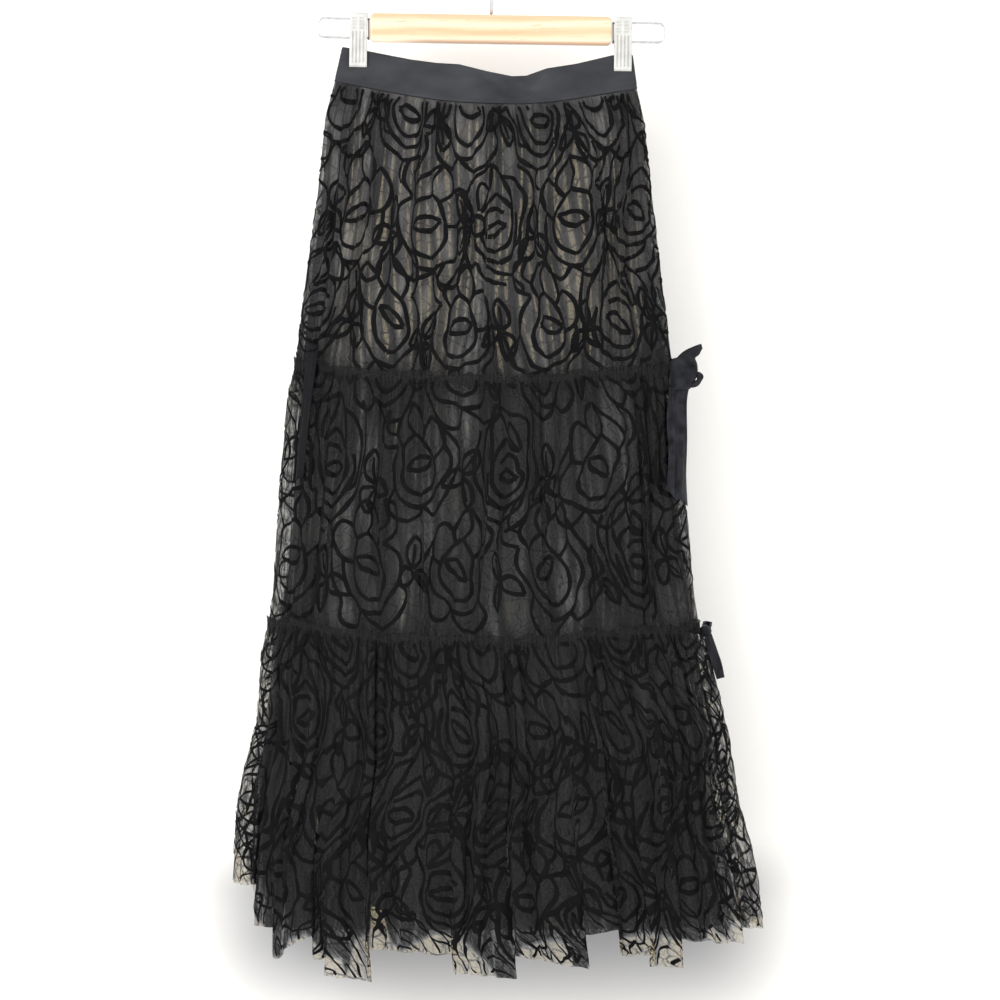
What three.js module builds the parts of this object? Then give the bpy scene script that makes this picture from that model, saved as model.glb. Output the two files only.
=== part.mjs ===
/*
 * Tulle skirt of three gathered tiers over a lining, held by two clips on a wooden hanger.
 * Units are millimetres. +X is to the right of the view, -Y towards the viewer, +Z up.
 * The origin is the inner top of the hanger's hook, where a rail carries it.
 */
import * as THREE from "three";

// Cloth, ribbon and seam sizes
const SEAM_GAP = 0.3;
const BAND_WALL = 3.2;
const TULLE_WALL = 1.5;
const LINING_WALL = 1.0;
const LINING_CLEAR = 0.8;
const LINING_INSET = TULLE_WALL + LINING_CLEAR;
const FOLDED_HALF = 3.6;
const RIBBON_WALL = 1.0;
const RIBBON_WIDTH = 14;
const SKIRT_SIDEWAYS = -3.5;

// Hanger sizes
const HANGER_TILT = THREE.MathUtils.degToRad(0.9);
const HOOK_WIRE = 3.2;
const HOOK_INNER_RADIUS = 18;
const BAR_LENGTH = 241.6;
const BAR_TOP = -81.2;
const BAR_HEIGHT = 28.8;
const BAR_THICKNESS = 12;
const LOOP_WIRE = 2.6;
const LOOP_TOP = -87;
const LOOP_BOTTOM = -106;
const LOOP_REACH = 174;
const LOOP_CORNER = 5;
const CLIP_MIDDLE = 132.2;
const CLIP_WIDTH = 17.6;
const CLIP_TOP = -81.2;
const CLIP_BOTTOM = -135.5;

// How squarely a flattened tube of cloth turns at its side folds, and the share of the width
// that lies between the two clips, where the waist is free to open
const FOLD_SQUARENESS = 12;
const OPEN_SHARE = 0.8;
// How far the side folds of the skirt crowd the stations across a panel
const STATION_CROWDING = 0.5;

// The waistband across its width: its upper edge in front and behind, its lower edge, and how far
// the front's upper edge tips back where the band sags between the clips
const WAIST = [
  { x: -155, frontTop: -113, backTop: -113, bottom: -148, tip: 0 },
  { x: -147, frontTop: -113, backTop: -113, bottom: -149, tip: 0 },
  { x: -122, frontTop: -117, backTop: -118, bottom: -154, tip: 0 },
  { x: -78, frontTop: -126, backTop: -128, bottom: -162.6, tip: 0 },
  { x: -53, frontTop: -129.5, backTop: -134, bottom: -166.5, tip: 0.5 },
  { x: -30, frontTop: -131, backTop: -139, bottom: -169, tip: 1.5 },
  { x: -1, frontTop: -138, backTop: -143, bottom: -170.4, tip: 4 },
  { x: 23, frontTop: -142.5, backTop: -146, bottom: -170.8, tip: 7 },
  { x: 37, frontTop: -142, backTop: -146, bottom: -170.6, tip: 7 },
  { x: 58, frontTop: -134.5, backTop: -143, bottom: -169, tip: 4 },
  { x: 87, frontTop: -130, backTop: -135, bottom: -165, tip: 1 },
  { x: 123, frontTop: -121.5, backTop: -123.5, bottom: -159, tip: 0 },
  { x: 149, frontTop: -120.5, backTop: -120.5, bottom: -155, tip: 0 },
];

// The waistband's plan at its two edges
const BAND_PLAN = [
  { z: 0, left: -147, right: 144, deep: 9.5, round: 0 },
  { z: 1, left: -155, right: 148.5, deep: 9.5, round: 0 },
];

// The tulle's outer surface, level by level: its two side folds, how far the middle stands out
// from the folded sides, and how oval the plan is (0 pinched by the clips, 1 a full oval)
const TULLE_PLAN = [
  { z: -152, left: -155, right: 148.5, deep: 9.5, round: 0 },
  { z: -186, left: -164, right: 156, deep: 13, round: 0.2 },
  { z: -226, left: -168, right: 160, deep: 18, round: 0.45 },
  { z: -266, left: -172, right: 164, deep: 22, round: 0.65 },
  { z: -346, left: -183, right: 173, deep: 29, round: 0.9 },
  { z: -438, left: -194, right: 184, deep: 34, round: 1 },
  { z: -466, left: -201, right: 188, deep: 38, round: 1 },
  { z: -546, left: -209, right: 195, deep: 44, round: 1 },
  { z: -626, left: -214, right: 202, deep: 48, round: 1 },
  { z: -666, left: -217, right: 206, deep: 49, round: 1 },
  { z: -691, left: -221, right: 210, deep: 50, round: 1 },
  { z: -726, left: -228, right: 222, deep: 54, round: 1 },
  { z: -766, left: -230, right: 232, deep: 57, round: 1 },
  { z: -806, left: -233, right: 241, deep: 59, round: 1 },
  { z: -866, left: -247, right: 250, deep: 62, round: 1 },
  { z: -906, left: -253, right: 262, deep: 64, round: 1 },
  { z: -946, left: -255, right: 270, deep: 66, round: 1 },
  { z: -990, left: -256, right: 275, deep: 68, round: 1 },
];

// The lining's outer surface, level by level, in the same columns
const LINING_PLAN = [
  { z: -152, left: -153.2, right: 146.7, deep: 9.5, round: 0 },
  { z: -186, left: -160, right: 152, deep: 11, round: 0.2 },
  { z: -266, left: -166.5, right: 158, deep: 18, round: 0.65 },
  { z: -346, left: -177, right: 166, deep: 24, round: 0.9 },
  { z: -438, left: -187, right: 176, deep: 29, round: 1 },
  { z: -516, left: -190, right: 183, deep: 34, round: 1 },
  { z: -626, left: -199, right: 195, deep: 41, round: 1 },
  { z: -766, left: -221, right: 216, deep: 47, round: 1 },
  { z: -866, left: -231, right: 222, deep: 51, round: 1 },
  { z: -991, left: -235, right: 234, deep: 54, round: 1 },
];

const UPPER_SEAM = -438;
const LOWER_SEAM = -691;
const LINING_HEM = -991;
const HEM_LEVEL = -990;

// The lower hem in stretches: where each starts, and how low its two ends hang. The stretches
// step up and down where a fold of the tulle ends.
const FRONT_HEM = [
  { x: -260, start: -949, end: -949 },
  { x: -236, start: -990, end: -990 },
  { x: -220, start: -1026, end: -1022 },
  { x: -205, start: -1014, end: -1003 },
  { x: -180, start: -1022, end: -1046 },
  { x: -118, start: -1013, end: -1020 },
  { x: -40, start: -1036, end: -1041 },
  { x: 27, start: -1019, end: -1034 },
  { x: 101, start: -999, end: -994 },
  { x: 131, start: -1018, end: -1031 },
  { x: 193, start: -1002, end: -1006 },
  { x: 254, start: -990, end: -995 },
  { x: 280, start: -995, end: -995 },
];
const BACK_HEM = [
  { x: -260, start: -949, end: -949 },
  { x: -236, start: -984, end: -989 },
  { x: -150, start: -980, end: -988 },
  { x: -62, start: -990, end: -983 },
  { x: 41, start: -981, end: -989 },
  { x: 118, start: -985, end: -979 },
  { x: 196, start: -986, end: -990 },
  { x: 254, start: -990, end: -995 },
  { x: 280, start: -995, end: -995 },
];

// One gather: where its valley, crest and shoulder lie along it, and how far each stands out
const GATHER = [
  { at: 0, out: 0 },
  { at: 0.4, out: 1 },
  { at: 0.72, out: 0.55 },
];

// How deep the gathers are at each share of a piece's drop
const UPPER_GATHERS = [
  { share: 0, puff: 0.5 },
  { share: 0.06, puff: 2.8 },
  { share: 0.2, puff: 3.6 },
  { share: 0.5, puff: 4.2 },
  { share: 0.93, puff: 4.2 },
  { share: 1, puff: 0.6 },
];
const MIDDLE_GATHERS = [
  { share: 0, puff: 0.6 },
  { share: 0.055, puff: 4.2 },
  { share: 0.4, puff: 5.2 },
  { share: 0.93, puff: 4.6 },
  { share: 1, puff: 0.6 },
];
const LOWER_GATHERS = [
  { share: 0, puff: 0.6 },
  { share: 0.05, puff: 5 },
  { share: 0.3, puff: 6.4 },
  { share: 0.65, puff: 7.6 },
  { share: 1, puff: 9.5 },
];
const LINING_FOLDS = [
  { share: 0, puff: 0 },
  { share: 0.05, puff: 0.5 },
  { share: 0.14, puff: 1.5 },
  { share: 0.34, puff: 4 },
  { share: 0.62, puff: 6 },
  { share: 1, puff: 8 },
];
const BAND_ROWS = [{ share: 0 }, { share: 0.33 }, { share: 0.67 }, { share: 1 }];

// Tiers from the waist down: their gathers on each side, and the two unevennesses of the spacing
const TIERS = [
  { name: "upper_tier", folds: 24, slow: 3, quick: 7, rows: UPPER_GATHERS, from: -152, to: UPPER_SEAM },
  { name: "middle_tier", folds: 24, slow: 4, quick: 9, rows: MIDDLE_GATHERS, from: UPPER_SEAM, to: LOWER_SEAM },
  { name: "lower_tier", folds: 26, slow: 5, quick: 8, rows: LOWER_GATHERS, from: LOWER_SEAM, to: HEM_LEVEL },
];
const LINING_FOLD_COUNT = 8;
const BAND_COLUMNS = 36;
const SIDES = [
  { name: "front", sign: -1, hem: FRONT_HEM, bandTop: "frontTop" },
  { name: "back", sign: 1, hem: BACK_HEM, bandTop: "backTop" },
];

// Ribbon tails that lie on the gathers: the share of the front panel they cover, level by level
const LEFT_TAIL = [
  { z: -420, from: 0.062, to: 0.098 },
  { z: -436, from: 0.064, to: 0.1 },
  { z: -455, from: 0.066, to: 0.102 },
  { z: -500, from: 0.07, to: 0.106 },
  { z: -546, from: 0.075, to: 0.11 },
];
const RIGHT_INNER_TAIL = [
  { z: -448, from: 0.95, to: 0.974 },
  { z: -470, from: 0.944, to: 0.971 },
  { z: -520, from: 0.934, to: 0.963 },
  { z: -562, from: 0.926, to: 0.956 },
];
const RIGHT_OUTER_TAIL = [
  { z: -448, from: 0.977, to: 0.997 },
  { z: -470, from: 0.974, to: 0.996 },
  { z: -520, from: 0.967, to: 0.993 },
  { z: -570, from: 0.96, to: 0.99 },
];

function finish(color, roughness, metalness) {
  return new THREE.MeshStandardMaterial({ color, roughness, metalness });
}

const TULLE = finish(0x2c2c2e, 0.9, 0);
const LINING = finish(0x55504c, 0.55, 0);
const BAND_SATIN = finish(0x48494e, 0.6, 0);
const RIBBON_SATIN = finish(0x393a3e, 0.5, 0);
const PALE_WOOD = finish(0xfcd9a7, 0.5, 0);
const WIRE = finish(0xb9babc, 0.3, 1);
const CLIP_WHITE = finish(0xeae9e2, 0.4, 0);
const SPRING_STEEL = finish(0x59564f, 0.4, 1);

// Reads one column of a table between the two rows that hold a value, in a straight line
function lookUp(table, key, value, column) {
  const falling = table[1][key] < table[0][key];
  const isPast = (row) => (falling ? value < table[row + 1][key] : value > table[row + 1][key]);
  let row = 0;
  while (row < table.length - 2 && isPast(row)) {
    row += 1;
  }
  const before = table[row];
  const after = table[row + 1];
  const share = THREE.MathUtils.clamp((value - before[key]) / (after[key] - before[key]), 0, 1);
  return THREE.MathUtils.lerp(before[column], after[column], share);
}

function planAt(plan, z) {
  return {
    left: lookUp(plan, "z", z, "left"),
    right: lookUp(plan, "z", z, "right"),
    deep: lookUp(plan, "z", z, "deep"),
    round: lookUp(plan, "z", z, "round"),
  };
}

// A station's place across the panel, -1 at the left side fold and 1 at the right
function placeAcross(u) {
  return STATION_CROWDING * -Math.cos(Math.PI * u) + (1 - STATION_CROWDING) * (2 * u - 1);
}

// How far the surface stands from the middle plane: a flat fold that ends bluntly, and on it a
// bulge that is free only between the clips and turns into an oval lower down
function standOff(plan, across, folded) {
  const bluntEnd = Math.max(0, 1 - Math.abs(across) ** FOLD_SQUARENESS) ** (1 / FOLD_SQUARENESS);
  const inOpening = Math.abs(across) < OPEN_SHARE;
  const pinched = inOpening ? Math.cos((Math.PI * across) / (2 * OPEN_SHARE)) ** 2 : 0;
  const oval = Math.sqrt(Math.max(0, 1 - across * across));
  return folded * bluntEnd + plan.deep * THREE.MathUtils.lerp(pinched, oval, plan.round);
}

// A point of a panel's section in plan, a given distance in from the outer surface
function sectionPoint(plan, u, sign, inset, folded) {
  const across = placeAcross(u);
  const half = (plan.right - plan.left) / 2 - inset;
  const x = (plan.left + plan.right) / 2 + half * across;
  const y = sign * (SEAM_GAP / 2 + standOff(plan, across, folded - inset));
  return new THREE.Vector2(x, y);
}

function outwardAt(plan, u, sign, folded) {
  const step = 0.004;
  const before = sectionPoint(plan, Math.max(0, u - step), sign, 0, folded);
  const after = sectionPoint(plan, Math.min(1, u + step), sign, 0, folded);
  const along = after.sub(before).normalize();
  return new THREE.Vector2(-sign * along.y, sign * along.x);
}

// Keeps the gathers out of the side folds, whose places the outline gives
function awayFromSides(u) {
  return Math.min(1, Math.sin(Math.PI * u) / 0.25);
}

// Stations across a gathered panel, three to a gather, with uneven spacing and depth
function gatherStations(folds, slow, quick) {
  const stations = [];
  for (let fold = 0; fold < folds; fold += 1) {
    const size = 0.74 + 0.26 * Math.sin(fold * 2.4 + slow);
    for (const { at, out } of GATHER) {
      const phase = (fold + at) / folds;
      const uneven = 0.01 * Math.sin(2 * Math.PI * slow * phase) + 0.006 * Math.sin(2 * Math.PI * quick * phase);
      const u = phase + uneven;
      stations.push({ u, out: out * size * awayFromSides(u) });
    }
  }
  stations.push({ u: 1, out: 0 });
  return stations;
}

function evenStations(count) {
  return Array.from({ length: count + 1 }, (_, index) => ({ u: index / count, out: 0 }));
}

function signedVolume(positions, faces) {
  const corner = (index) => new THREE.Vector3().fromArray(positions, faces[index] * 3);
  let volume = 0;
  for (let face = 0; face < faces.length; face += 3) {
    volume += corner(face).dot(corner(face + 1).cross(corner(face + 2))) / 6;
  }
  return volume;
}

// A closed wall between an outer and an inner grid of points, with its four edges closed
function wallGeometry(across, down, pointAt) {
  const OUTER = 0;
  const INNER = 1;
  const positions = [];
  for (const face of [OUTER, INNER]) {
    for (let row = 0; row <= down; row += 1) {
      for (let column = 0; column <= across; column += 1) {
        positions.push(...pointAt(column, row, face === INNER));
      }
    }
  }
  const at = (face, row, column) => (face * (down + 1) + row) * (across + 1) + column;
  const faces = [];
  const quad = (a, b, c, d) => faces.push(a, b, c, a, c, d);
  for (let row = 0; row < down; row += 1) {
    for (let column = 0; column < across; column += 1) {
      quad(at(OUTER, row, column), at(OUTER, row + 1, column), at(OUTER, row + 1, column + 1), at(OUTER, row, column + 1));
      quad(at(INNER, row, column), at(INNER, row, column + 1), at(INNER, row + 1, column + 1), at(INNER, row + 1, column));
    }
    quad(at(OUTER, row, 0), at(INNER, row, 0), at(INNER, row + 1, 0), at(OUTER, row + 1, 0));
    quad(at(OUTER, row, across), at(OUTER, row + 1, across), at(INNER, row + 1, across), at(INNER, row, across));
  }
  for (let column = 0; column < across; column += 1) {
    quad(at(OUTER, 0, column), at(OUTER, 0, column + 1), at(INNER, 0, column + 1), at(INNER, 0, column));
    quad(at(OUTER, down, column), at(INNER, down, column), at(INNER, down, column + 1), at(OUTER, down, column + 1));
  }
  if (signedVolume(positions, faces) < 0) {
    faces.reverse();
  }
  const geometry = new THREE.BufferGeometry();
  geometry.setAttribute("position", new THREE.Float32BufferAttribute(positions, 3));
  geometry.setIndex(faces);
  geometry.computeVertexNormals();
  return geometry;
}

function meshOf(name, geometry, material) {
  const mesh = new THREE.Mesh(geometry, material);
  mesh.name = name;
  return mesh;
}

// Half of the waistband: a folded strip that sags between the clips and tips back in the middle
function bandHalf({ name, sign, bandTop }) {
  const stations = evenStations(BAND_COLUMNS);
  const pointAt = (column, row, inner) => {
    const { u } = stations[column];
    const { share } = BAND_ROWS[row];
    const plan = planAt(BAND_PLAN, share);
    const point = sectionPoint(plan, u, sign, inner ? BAND_WALL : 0, FOLDED_HALF);
    const top = lookUp(WAIST, "x", point.x, bandTop);
    const bottom = lookUp(WAIST, "x", point.x, "bottom");
    const tip = (1 - share) * lookUp(WAIST, "x", point.x, "tip");
    return [point.x, point.y + tip, THREE.MathUtils.lerp(top, bottom, share)];
  };
  return meshOf(`waistband_${name}`, wallGeometry(BAND_COLUMNS, BAND_ROWS.length - 1, pointAt), BAND_SATIN);
}

// The height of the hem below a station, from the stretch that holds it
function hemAt(hem, x) {
  let stretch = 0;
  while (stretch < hem.length - 2 && x >= hem[stretch + 1].x) {
    stretch += 1;
  }
  const { x: from, start, end } = hem[stretch];
  const share = THREE.MathUtils.clamp((x - from) / (hem[stretch + 1].x - from), 0, 1);
  return THREE.MathUtils.lerp(start, end, share);
}

// Half of a gathered tier: gathers that stand out from the tier's plan, flat at its seams
function tierHalf(tier, side) {
  const stations = gatherStations(tier.folds, tier.slow, tier.quick);
  const hemPlan = planAt(TULLE_PLAN, tier.to);
  const pointAt = (column, row, inner) => {
    const { u, out } = stations[column];
    const { share, puff } = tier.rows[row];
    const plan = planAt(TULLE_PLAN, THREE.MathUtils.lerp(tier.from, tier.to, share));
    const point = sectionPoint(plan, u, side.sign, inner ? TULLE_WALL : 0, FOLDED_HALF);
    point.addScaledVector(outwardAt(plan, u, side.sign, FOLDED_HALF), out * puff);
    const hemX = sectionPoint(hemPlan, u, side.sign, 0, FOLDED_HALF).x;
    const waistX = sectionPoint(planAt(TULLE_PLAN, tier.from), u, side.sign, 0, FOLDED_HALF).x;
    const top = tier.name === "upper_tier" ? lookUp(WAIST, "x", waistX, "bottom") : tier.from;
    const bottom = tier.name === "lower_tier" ? hemAt(side.hem, hemX) : tier.to;
    return [point.x, point.y, THREE.MathUtils.lerp(top - SEAM_GAP, bottom, share)];
  };
  const geometry = wallGeometry(stations.length - 1, tier.rows.length - 1, pointAt);
  return meshOf(`${tier.name}_${side.name}`, geometry, TULLE);
}

// Half of the lining: a plain flared tube with soft folds that turn inwards
function liningHalf(side) {
  const stations = gatherStations(LINING_FOLD_COUNT, 2, 3);
  const folded = FOLDED_HALF - LINING_INSET;
  const topLevel = LINING_PLAN[0].z;
  const pointAt = (column, row, inner) => {
    const { u, out } = stations[column];
    const { share, puff } = LINING_FOLDS[row];
    const plan = planAt(LINING_PLAN, THREE.MathUtils.lerp(topLevel, LINING_HEM, share));
    const point = sectionPoint(plan, u, side.sign, inner ? LINING_WALL : 0, folded);
    point.addScaledVector(outwardAt(plan, u, side.sign, folded), -out * puff);
    const waistX = sectionPoint(planAt(LINING_PLAN, topLevel), u, side.sign, 0, folded).x;
    const top = lookUp(WAIST, "x", waistX, "bottom") - SEAM_GAP;
    return [point.x, point.y, THREE.MathUtils.lerp(top, LINING_HEM, share)];
  };
  const geometry = wallGeometry(stations.length - 1, LINING_FOLDS.length - 1, pointAt);
  return meshOf(`lining_${side.name}`, geometry, LINING);
}

// How far the gathers stand out at a level, in whichever tier holds it
function puffAt(z) {
  const tier = TIERS.find(({ to }) => z >= to) ?? TIERS[TIERS.length - 1];
  return lookUp(tier.rows, "share", (z - tier.from) / (tier.to - tier.from), "puff");
}

// A point of the front tulle's surface, moved out past its gathers by a lift
function frontPoint(u, z, lift) {
  const plan = planAt(TULLE_PLAN, z);
  const point = sectionPoint(plan, u, -1, 0, FOLDED_HALF);
  point.addScaledVector(outwardAt(plan, u, -1, FOLDED_HALF), puffAt(z) * awayFromSides(u) + lift);
  return new THREE.Vector3(point.x, point.y, z);
}

// A ribbon tail laid on the gathers
function layingTail(name, rows) {
  const pointAt = (column, row, inner) => {
    const { z, from, to } = rows[row];
    return frontPoint(column === 0 ? from : to, z, inner ? SEAM_GAP : SEAM_GAP + RIBBON_WALL);
  };
  return meshOf(name, wallGeometry(1, rows.length - 1, pointAt), RIBBON_SATIN);
}

// A flat ribbon along a path, wide along one direction
function ribbonAlong(name, path, wide, width) {
  const tangentAt = (row) => {
    const next = path[Math.min(row + 1, path.length - 1)];
    const last = path[Math.max(row - 1, 0)];
    return next.clone().sub(last).normalize();
  };
  const pointAt = (column, row, inner) => {
    const through = tangentAt(row).cross(wide).normalize();
    const sideways = wide.clone().multiplyScalar(column === 0 ? -width / 2 : width / 2);
    return path[row].clone().add(sideways).addScaledVector(through, inner ? -RIBBON_WALL / 2 : RIBBON_WALL / 2);
  };
  return meshOf(name, wallGeometry(1, path.length - 1, pointAt), RIBBON_SATIN);
}

// A bow's loop: it leaves the knot, bellies out, turns at its tip and comes back
function bowLoop(name, root, tip, wide, belly) {
  const steps = 12;
  const open = 0.035;
  const reach = tip.clone().sub(root);
  const upward = wide.clone().cross(reach).normalize();
  const path = [];
  for (let step = 0; step <= steps; step += 1) {
    const turn = 2 * Math.PI * THREE.MathUtils.lerp(open, 1 - open, step / steps);
    const point = root.clone().addScaledVector(reach, (1 - Math.cos(turn)) / 2);
    path.push(point.addScaledVector(upward, belly * Math.sin(turn)));
  }
  return ribbonAlong(name, path, wide, RIBBON_WIDTH);
}

function knotAt(name, center, radii) {
  const geometry = new THREE.SphereGeometry(1, 10, 8);
  const knot = meshOf(name, geometry, RIBBON_SATIN);
  knot.scale.copy(radii);
  knot.position.copy(center);
  return knot;
}

// The point of a knot's surface that faces along a direction
function knotSurface(center, radii, direction) {
  const reach = 1 / direction.clone().divide(radii).length();
  return center.clone().addScaledVector(direction, reach);
}

// A knot's middle, seated against the right side fold of the tulle
function besideRightFold(z, radii, forward) {
  const { right } = planAt(TULLE_PLAN, z);
  return new THREE.Vector3(right + SEAM_GAP + radii.x, -forward, z);
}

// The bow at the right end of the upper seam, seen edge on from the front
function sideBow() {
  const radii = new THREE.Vector3(8.5, 7, 8.5);
  const center = besideRightFold(-433, radii, 1.5);
  const bow = new THREE.Group();
  bow.add(knotAt("side_bow_knot", center, radii));
  const loops = [
    { name: "front", way: [0.38, -0.72, 0.58], wide: [-0.62, 0.1, 0.78], length: 27 },
    { name: "back", way: [0.42, 0.84, -0.3], wide: [0.45, 0.1, 0.88], length: 24 },
  ];
  for (const { name, way, wide, length } of loops) {
    const direction = new THREE.Vector3(...way).normalize();
    const root = knotSurface(center, radii, direction);
    const tip = root.clone().addScaledVector(direction, length);
    bow.add(bowLoop(`side_bow_${name}_loop`, root, tip, new THREE.Vector3(...wide).normalize(), 5));
  }
  bow.add(layingTail("side_bow_inner_tail", RIGHT_INNER_TAIL));
  bow.add(layingTail("side_bow_outer_tail", RIGHT_OUTER_TAIL));
  return bow;
}

// The small bow at the right end of the lower seam: its knot, loop and one stiff tail
function lowBow() {
  const radii = new THREE.Vector3(5, 6, 7);
  const center = besideRightFold(-697, radii, 2);
  const bow = new THREE.Group();
  bow.add(knotAt("low_bow_knot", center, radii));
  const backward = new THREE.Vector3(0.1, 0.98, 0.2).normalize();
  const root = knotSurface(center, radii, backward);
  const tip = root.clone().addScaledVector(backward, 22);
  bow.add(bowLoop("low_bow_loop", root, tip, new THREE.Vector3(0.2, 0.1, 1).normalize(), 3.5));
  const downward = new THREE.Vector3(0.42, -0.35, -0.84).normalize();
  const belowKnot = 1.6;
  const tailRoot = knotSurface(center, radii, downward).addScaledVector(downward, belowKnot);
  const tail = [
    tailRoot,
    tailRoot.clone().add(new THREE.Vector3(4, -1.5, -11)),
    tailRoot.clone().add(new THREE.Vector3(8.5, -2, -25)),
    tailRoot.clone().add(new THREE.Vector3(11.5, -2, -41)),
  ];
  bow.add(ribbonAlong("low_bow_tail", tail, new THREE.Vector3(0.5, -0.87, 0), RIBBON_WIDTH));
  return bow;
}

// The tie at the left end of the upper seam: its knot and one tail lying on the gathers
function leftTie() {
  const tie = new THREE.Group();
  const knotLift = 2.8;
  const center = frontPoint(0.08, -414, knotLift);
  tie.add(knotAt("left_tie_knot", center, new THREE.Vector3(6.5, 4, 4.5)));
  tie.add(layingTail("left_tie_tail", LEFT_TAIL));
  return tie;
}

function skirt() {
  const group = new THREE.Group();
  for (const side of SIDES) {
    group.add(bandHalf(side));
    group.add(liningHalf(side));
    for (const tier of TIERS) {
      group.add(tierHalf(tier, side));
    }
  }
  group.add(sideBow(), lowBow(), leftTie());
  group.position.x = SKIRT_SIDEWAYS;
  return group;
}

// A round wire along a path
function wireAlong(name, path, diameter, steps, sides) {
  const section = new THREE.Shape().absarc(0, 0, diameter / 2, 0, 2 * Math.PI);
  // A full circle takes two points for each curve segment
  const options = { extrudePath: path, steps, bevelEnabled: false, curveSegments: sides / 2 };
  return meshOf(name, new THREE.ExtrudeGeometry(section, options), WIRE);
}

// The hook: a shank, a bend to one side, and most of a circle over the rail to its open end
function hook() {
  const ringRadius = HOOK_INNER_RADIUS + HOOK_WIRE / 2;
  const ringMiddle = -HOOK_INNER_RADIUS;
  const points = [new THREE.Vector3(0, 0, BAR_TOP + SEAM_GAP), new THREE.Vector3(0, 0, -62)];
  const turns = 16;
  for (let turn = 0; turn <= turns; turn += 1) {
    const angle = THREE.MathUtils.degToRad(THREE.MathUtils.lerp(-62, 195, turn / turns));
    points.push(new THREE.Vector3(ringRadius * Math.cos(angle), 0, ringMiddle + ringRadius * Math.sin(angle)));
  }
  const path = new THREE.CatmullRomCurve3(points, false, "centripetal");
  return wireAlong("hanger_hook", path, HOOK_WIRE, 34, 10);
}

// The wooden bar, with its corners and its long edges rounded
function bar() {
  const edge = 2.2;
  const corner = 3;
  const half = BAR_LENGTH / 2 - edge;
  const low = -BAR_HEIGHT + edge;
  const outline = new THREE.Shape();
  outline.moveTo(-half + corner, low);
  outline.lineTo(half - corner, low);
  outline.absarc(half - corner, low + corner, corner, -Math.PI / 2, 0);
  outline.lineTo(half, -edge - corner);
  outline.absarc(half - corner, -edge - corner, corner, 0, Math.PI / 2);
  outline.lineTo(-half + corner, -edge);
  outline.absarc(-half + corner, -edge - corner, corner, Math.PI / 2, Math.PI);
  outline.lineTo(-half, low + corner);
  outline.absarc(-half + corner, low + corner, corner, Math.PI, 1.5 * Math.PI);
  const options = {
    depth: BAR_THICKNESS - 2 * edge,
    bevelThickness: edge,
    bevelSize: edge,
    bevelSegments: 2,
    curveSegments: 2,
  };
  const geometry = new THREE.ExtrudeGeometry(outline, options);
  geometry.rotateX(Math.PI / 2);
  geometry.translate(0, BAR_THICKNESS / 2 - edge, BAR_TOP);
  return meshOf("hanger_bar", geometry, PALE_WOOD);
}

// The wire loop that a clip slides on, its two prongs meeting the bar's end
function clipLoop(name, direction) {
  const root = direction * (BAR_LENGTH / 2 + SEAM_GAP);
  const end = direction * (LOOP_REACH - LOOP_WIRE / 2);
  const inner = end - direction * LOOP_CORNER;
  const path = new THREE.CurvePath();
  const corner = (from, elbow, to) => path.add(new THREE.QuadraticBezierCurve3(from, elbow, to));
  const at = (x, z) => new THREE.Vector3(x, 0, z);
  path.add(new THREE.LineCurve3(at(root, LOOP_TOP), at(inner, LOOP_TOP)));
  corner(at(inner, LOOP_TOP), at(end, LOOP_TOP), at(end, LOOP_TOP - LOOP_CORNER));
  path.add(new THREE.LineCurve3(at(end, LOOP_TOP - LOOP_CORNER), at(end, LOOP_BOTTOM + LOOP_CORNER)));
  corner(at(end, LOOP_BOTTOM + LOOP_CORNER), at(end, LOOP_BOTTOM), at(inner, LOOP_BOTTOM));
  path.add(new THREE.LineCurve3(at(inner, LOOP_BOTTOM), at(root, LOOP_BOTTOM)));
  return wireAlong(name, path, LOOP_WIRE, 28, 8);
}

// One jaw of a clip, cut from its side profile: close to the wires above, round the band below
function clipJaw(name, center, sign) {
  const onWire = LOOP_WIRE / 2 + SEAM_GAP;
  const onBand = FOLDED_HALF + SEAM_GAP / 2 + SEAM_GAP;
  const outerTop = 6;
  const outerBottom = 6.9;
  const profile = new THREE.Shape([
    new THREE.Vector2(onWire, CLIP_TOP),
    new THREE.Vector2(outerTop, CLIP_TOP),
    new THREE.Vector2(outerBottom, CLIP_BOTTOM + 1.5),
    new THREE.Vector2(outerBottom - 1.2, CLIP_BOTTOM),
    new THREE.Vector2(onBand + 0.4, CLIP_BOTTOM),
    new THREE.Vector2(onBand, CLIP_BOTTOM + 1.5),
    new THREE.Vector2(onBand, LOOP_BOTTOM - 7),
    new THREE.Vector2(onWire, LOOP_BOTTOM - 2),
  ]);
  const geometry = new THREE.ExtrudeGeometry(profile, { depth: CLIP_WIDTH, bevelEnabled: false });
  geometry.translate(0, 0, -CLIP_WIDTH / 2);
  const jaw = meshOf(name, geometry, CLIP_WHITE);
  // The profile is drawn in plan: its x becomes the depth and its y the height
  jaw.rotation.set(Math.PI / 2, (sign * Math.PI) / 2, 0);
  jaw.position.x = center;
  return jaw;
}

// The steel spring beside a clip, between it and the bar
function clipSpring(name, direction) {
  const width = 2.2;
  const height = 21;
  const depth = 3;
  const geometry = new THREE.BoxGeometry(width, depth, height);
  const nearWire = LOOP_WIRE / 2 + SEAM_GAP + depth / 2;
  const x = direction * (CLIP_MIDDLE - CLIP_WIDTH / 2 - SEAM_GAP - width / 2);
  geometry.translate(x, -nearWire, (LOOP_TOP + LOOP_BOTTOM) / 2 - 1);
  return meshOf(name, geometry, SPRING_STEEL);
}

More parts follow.
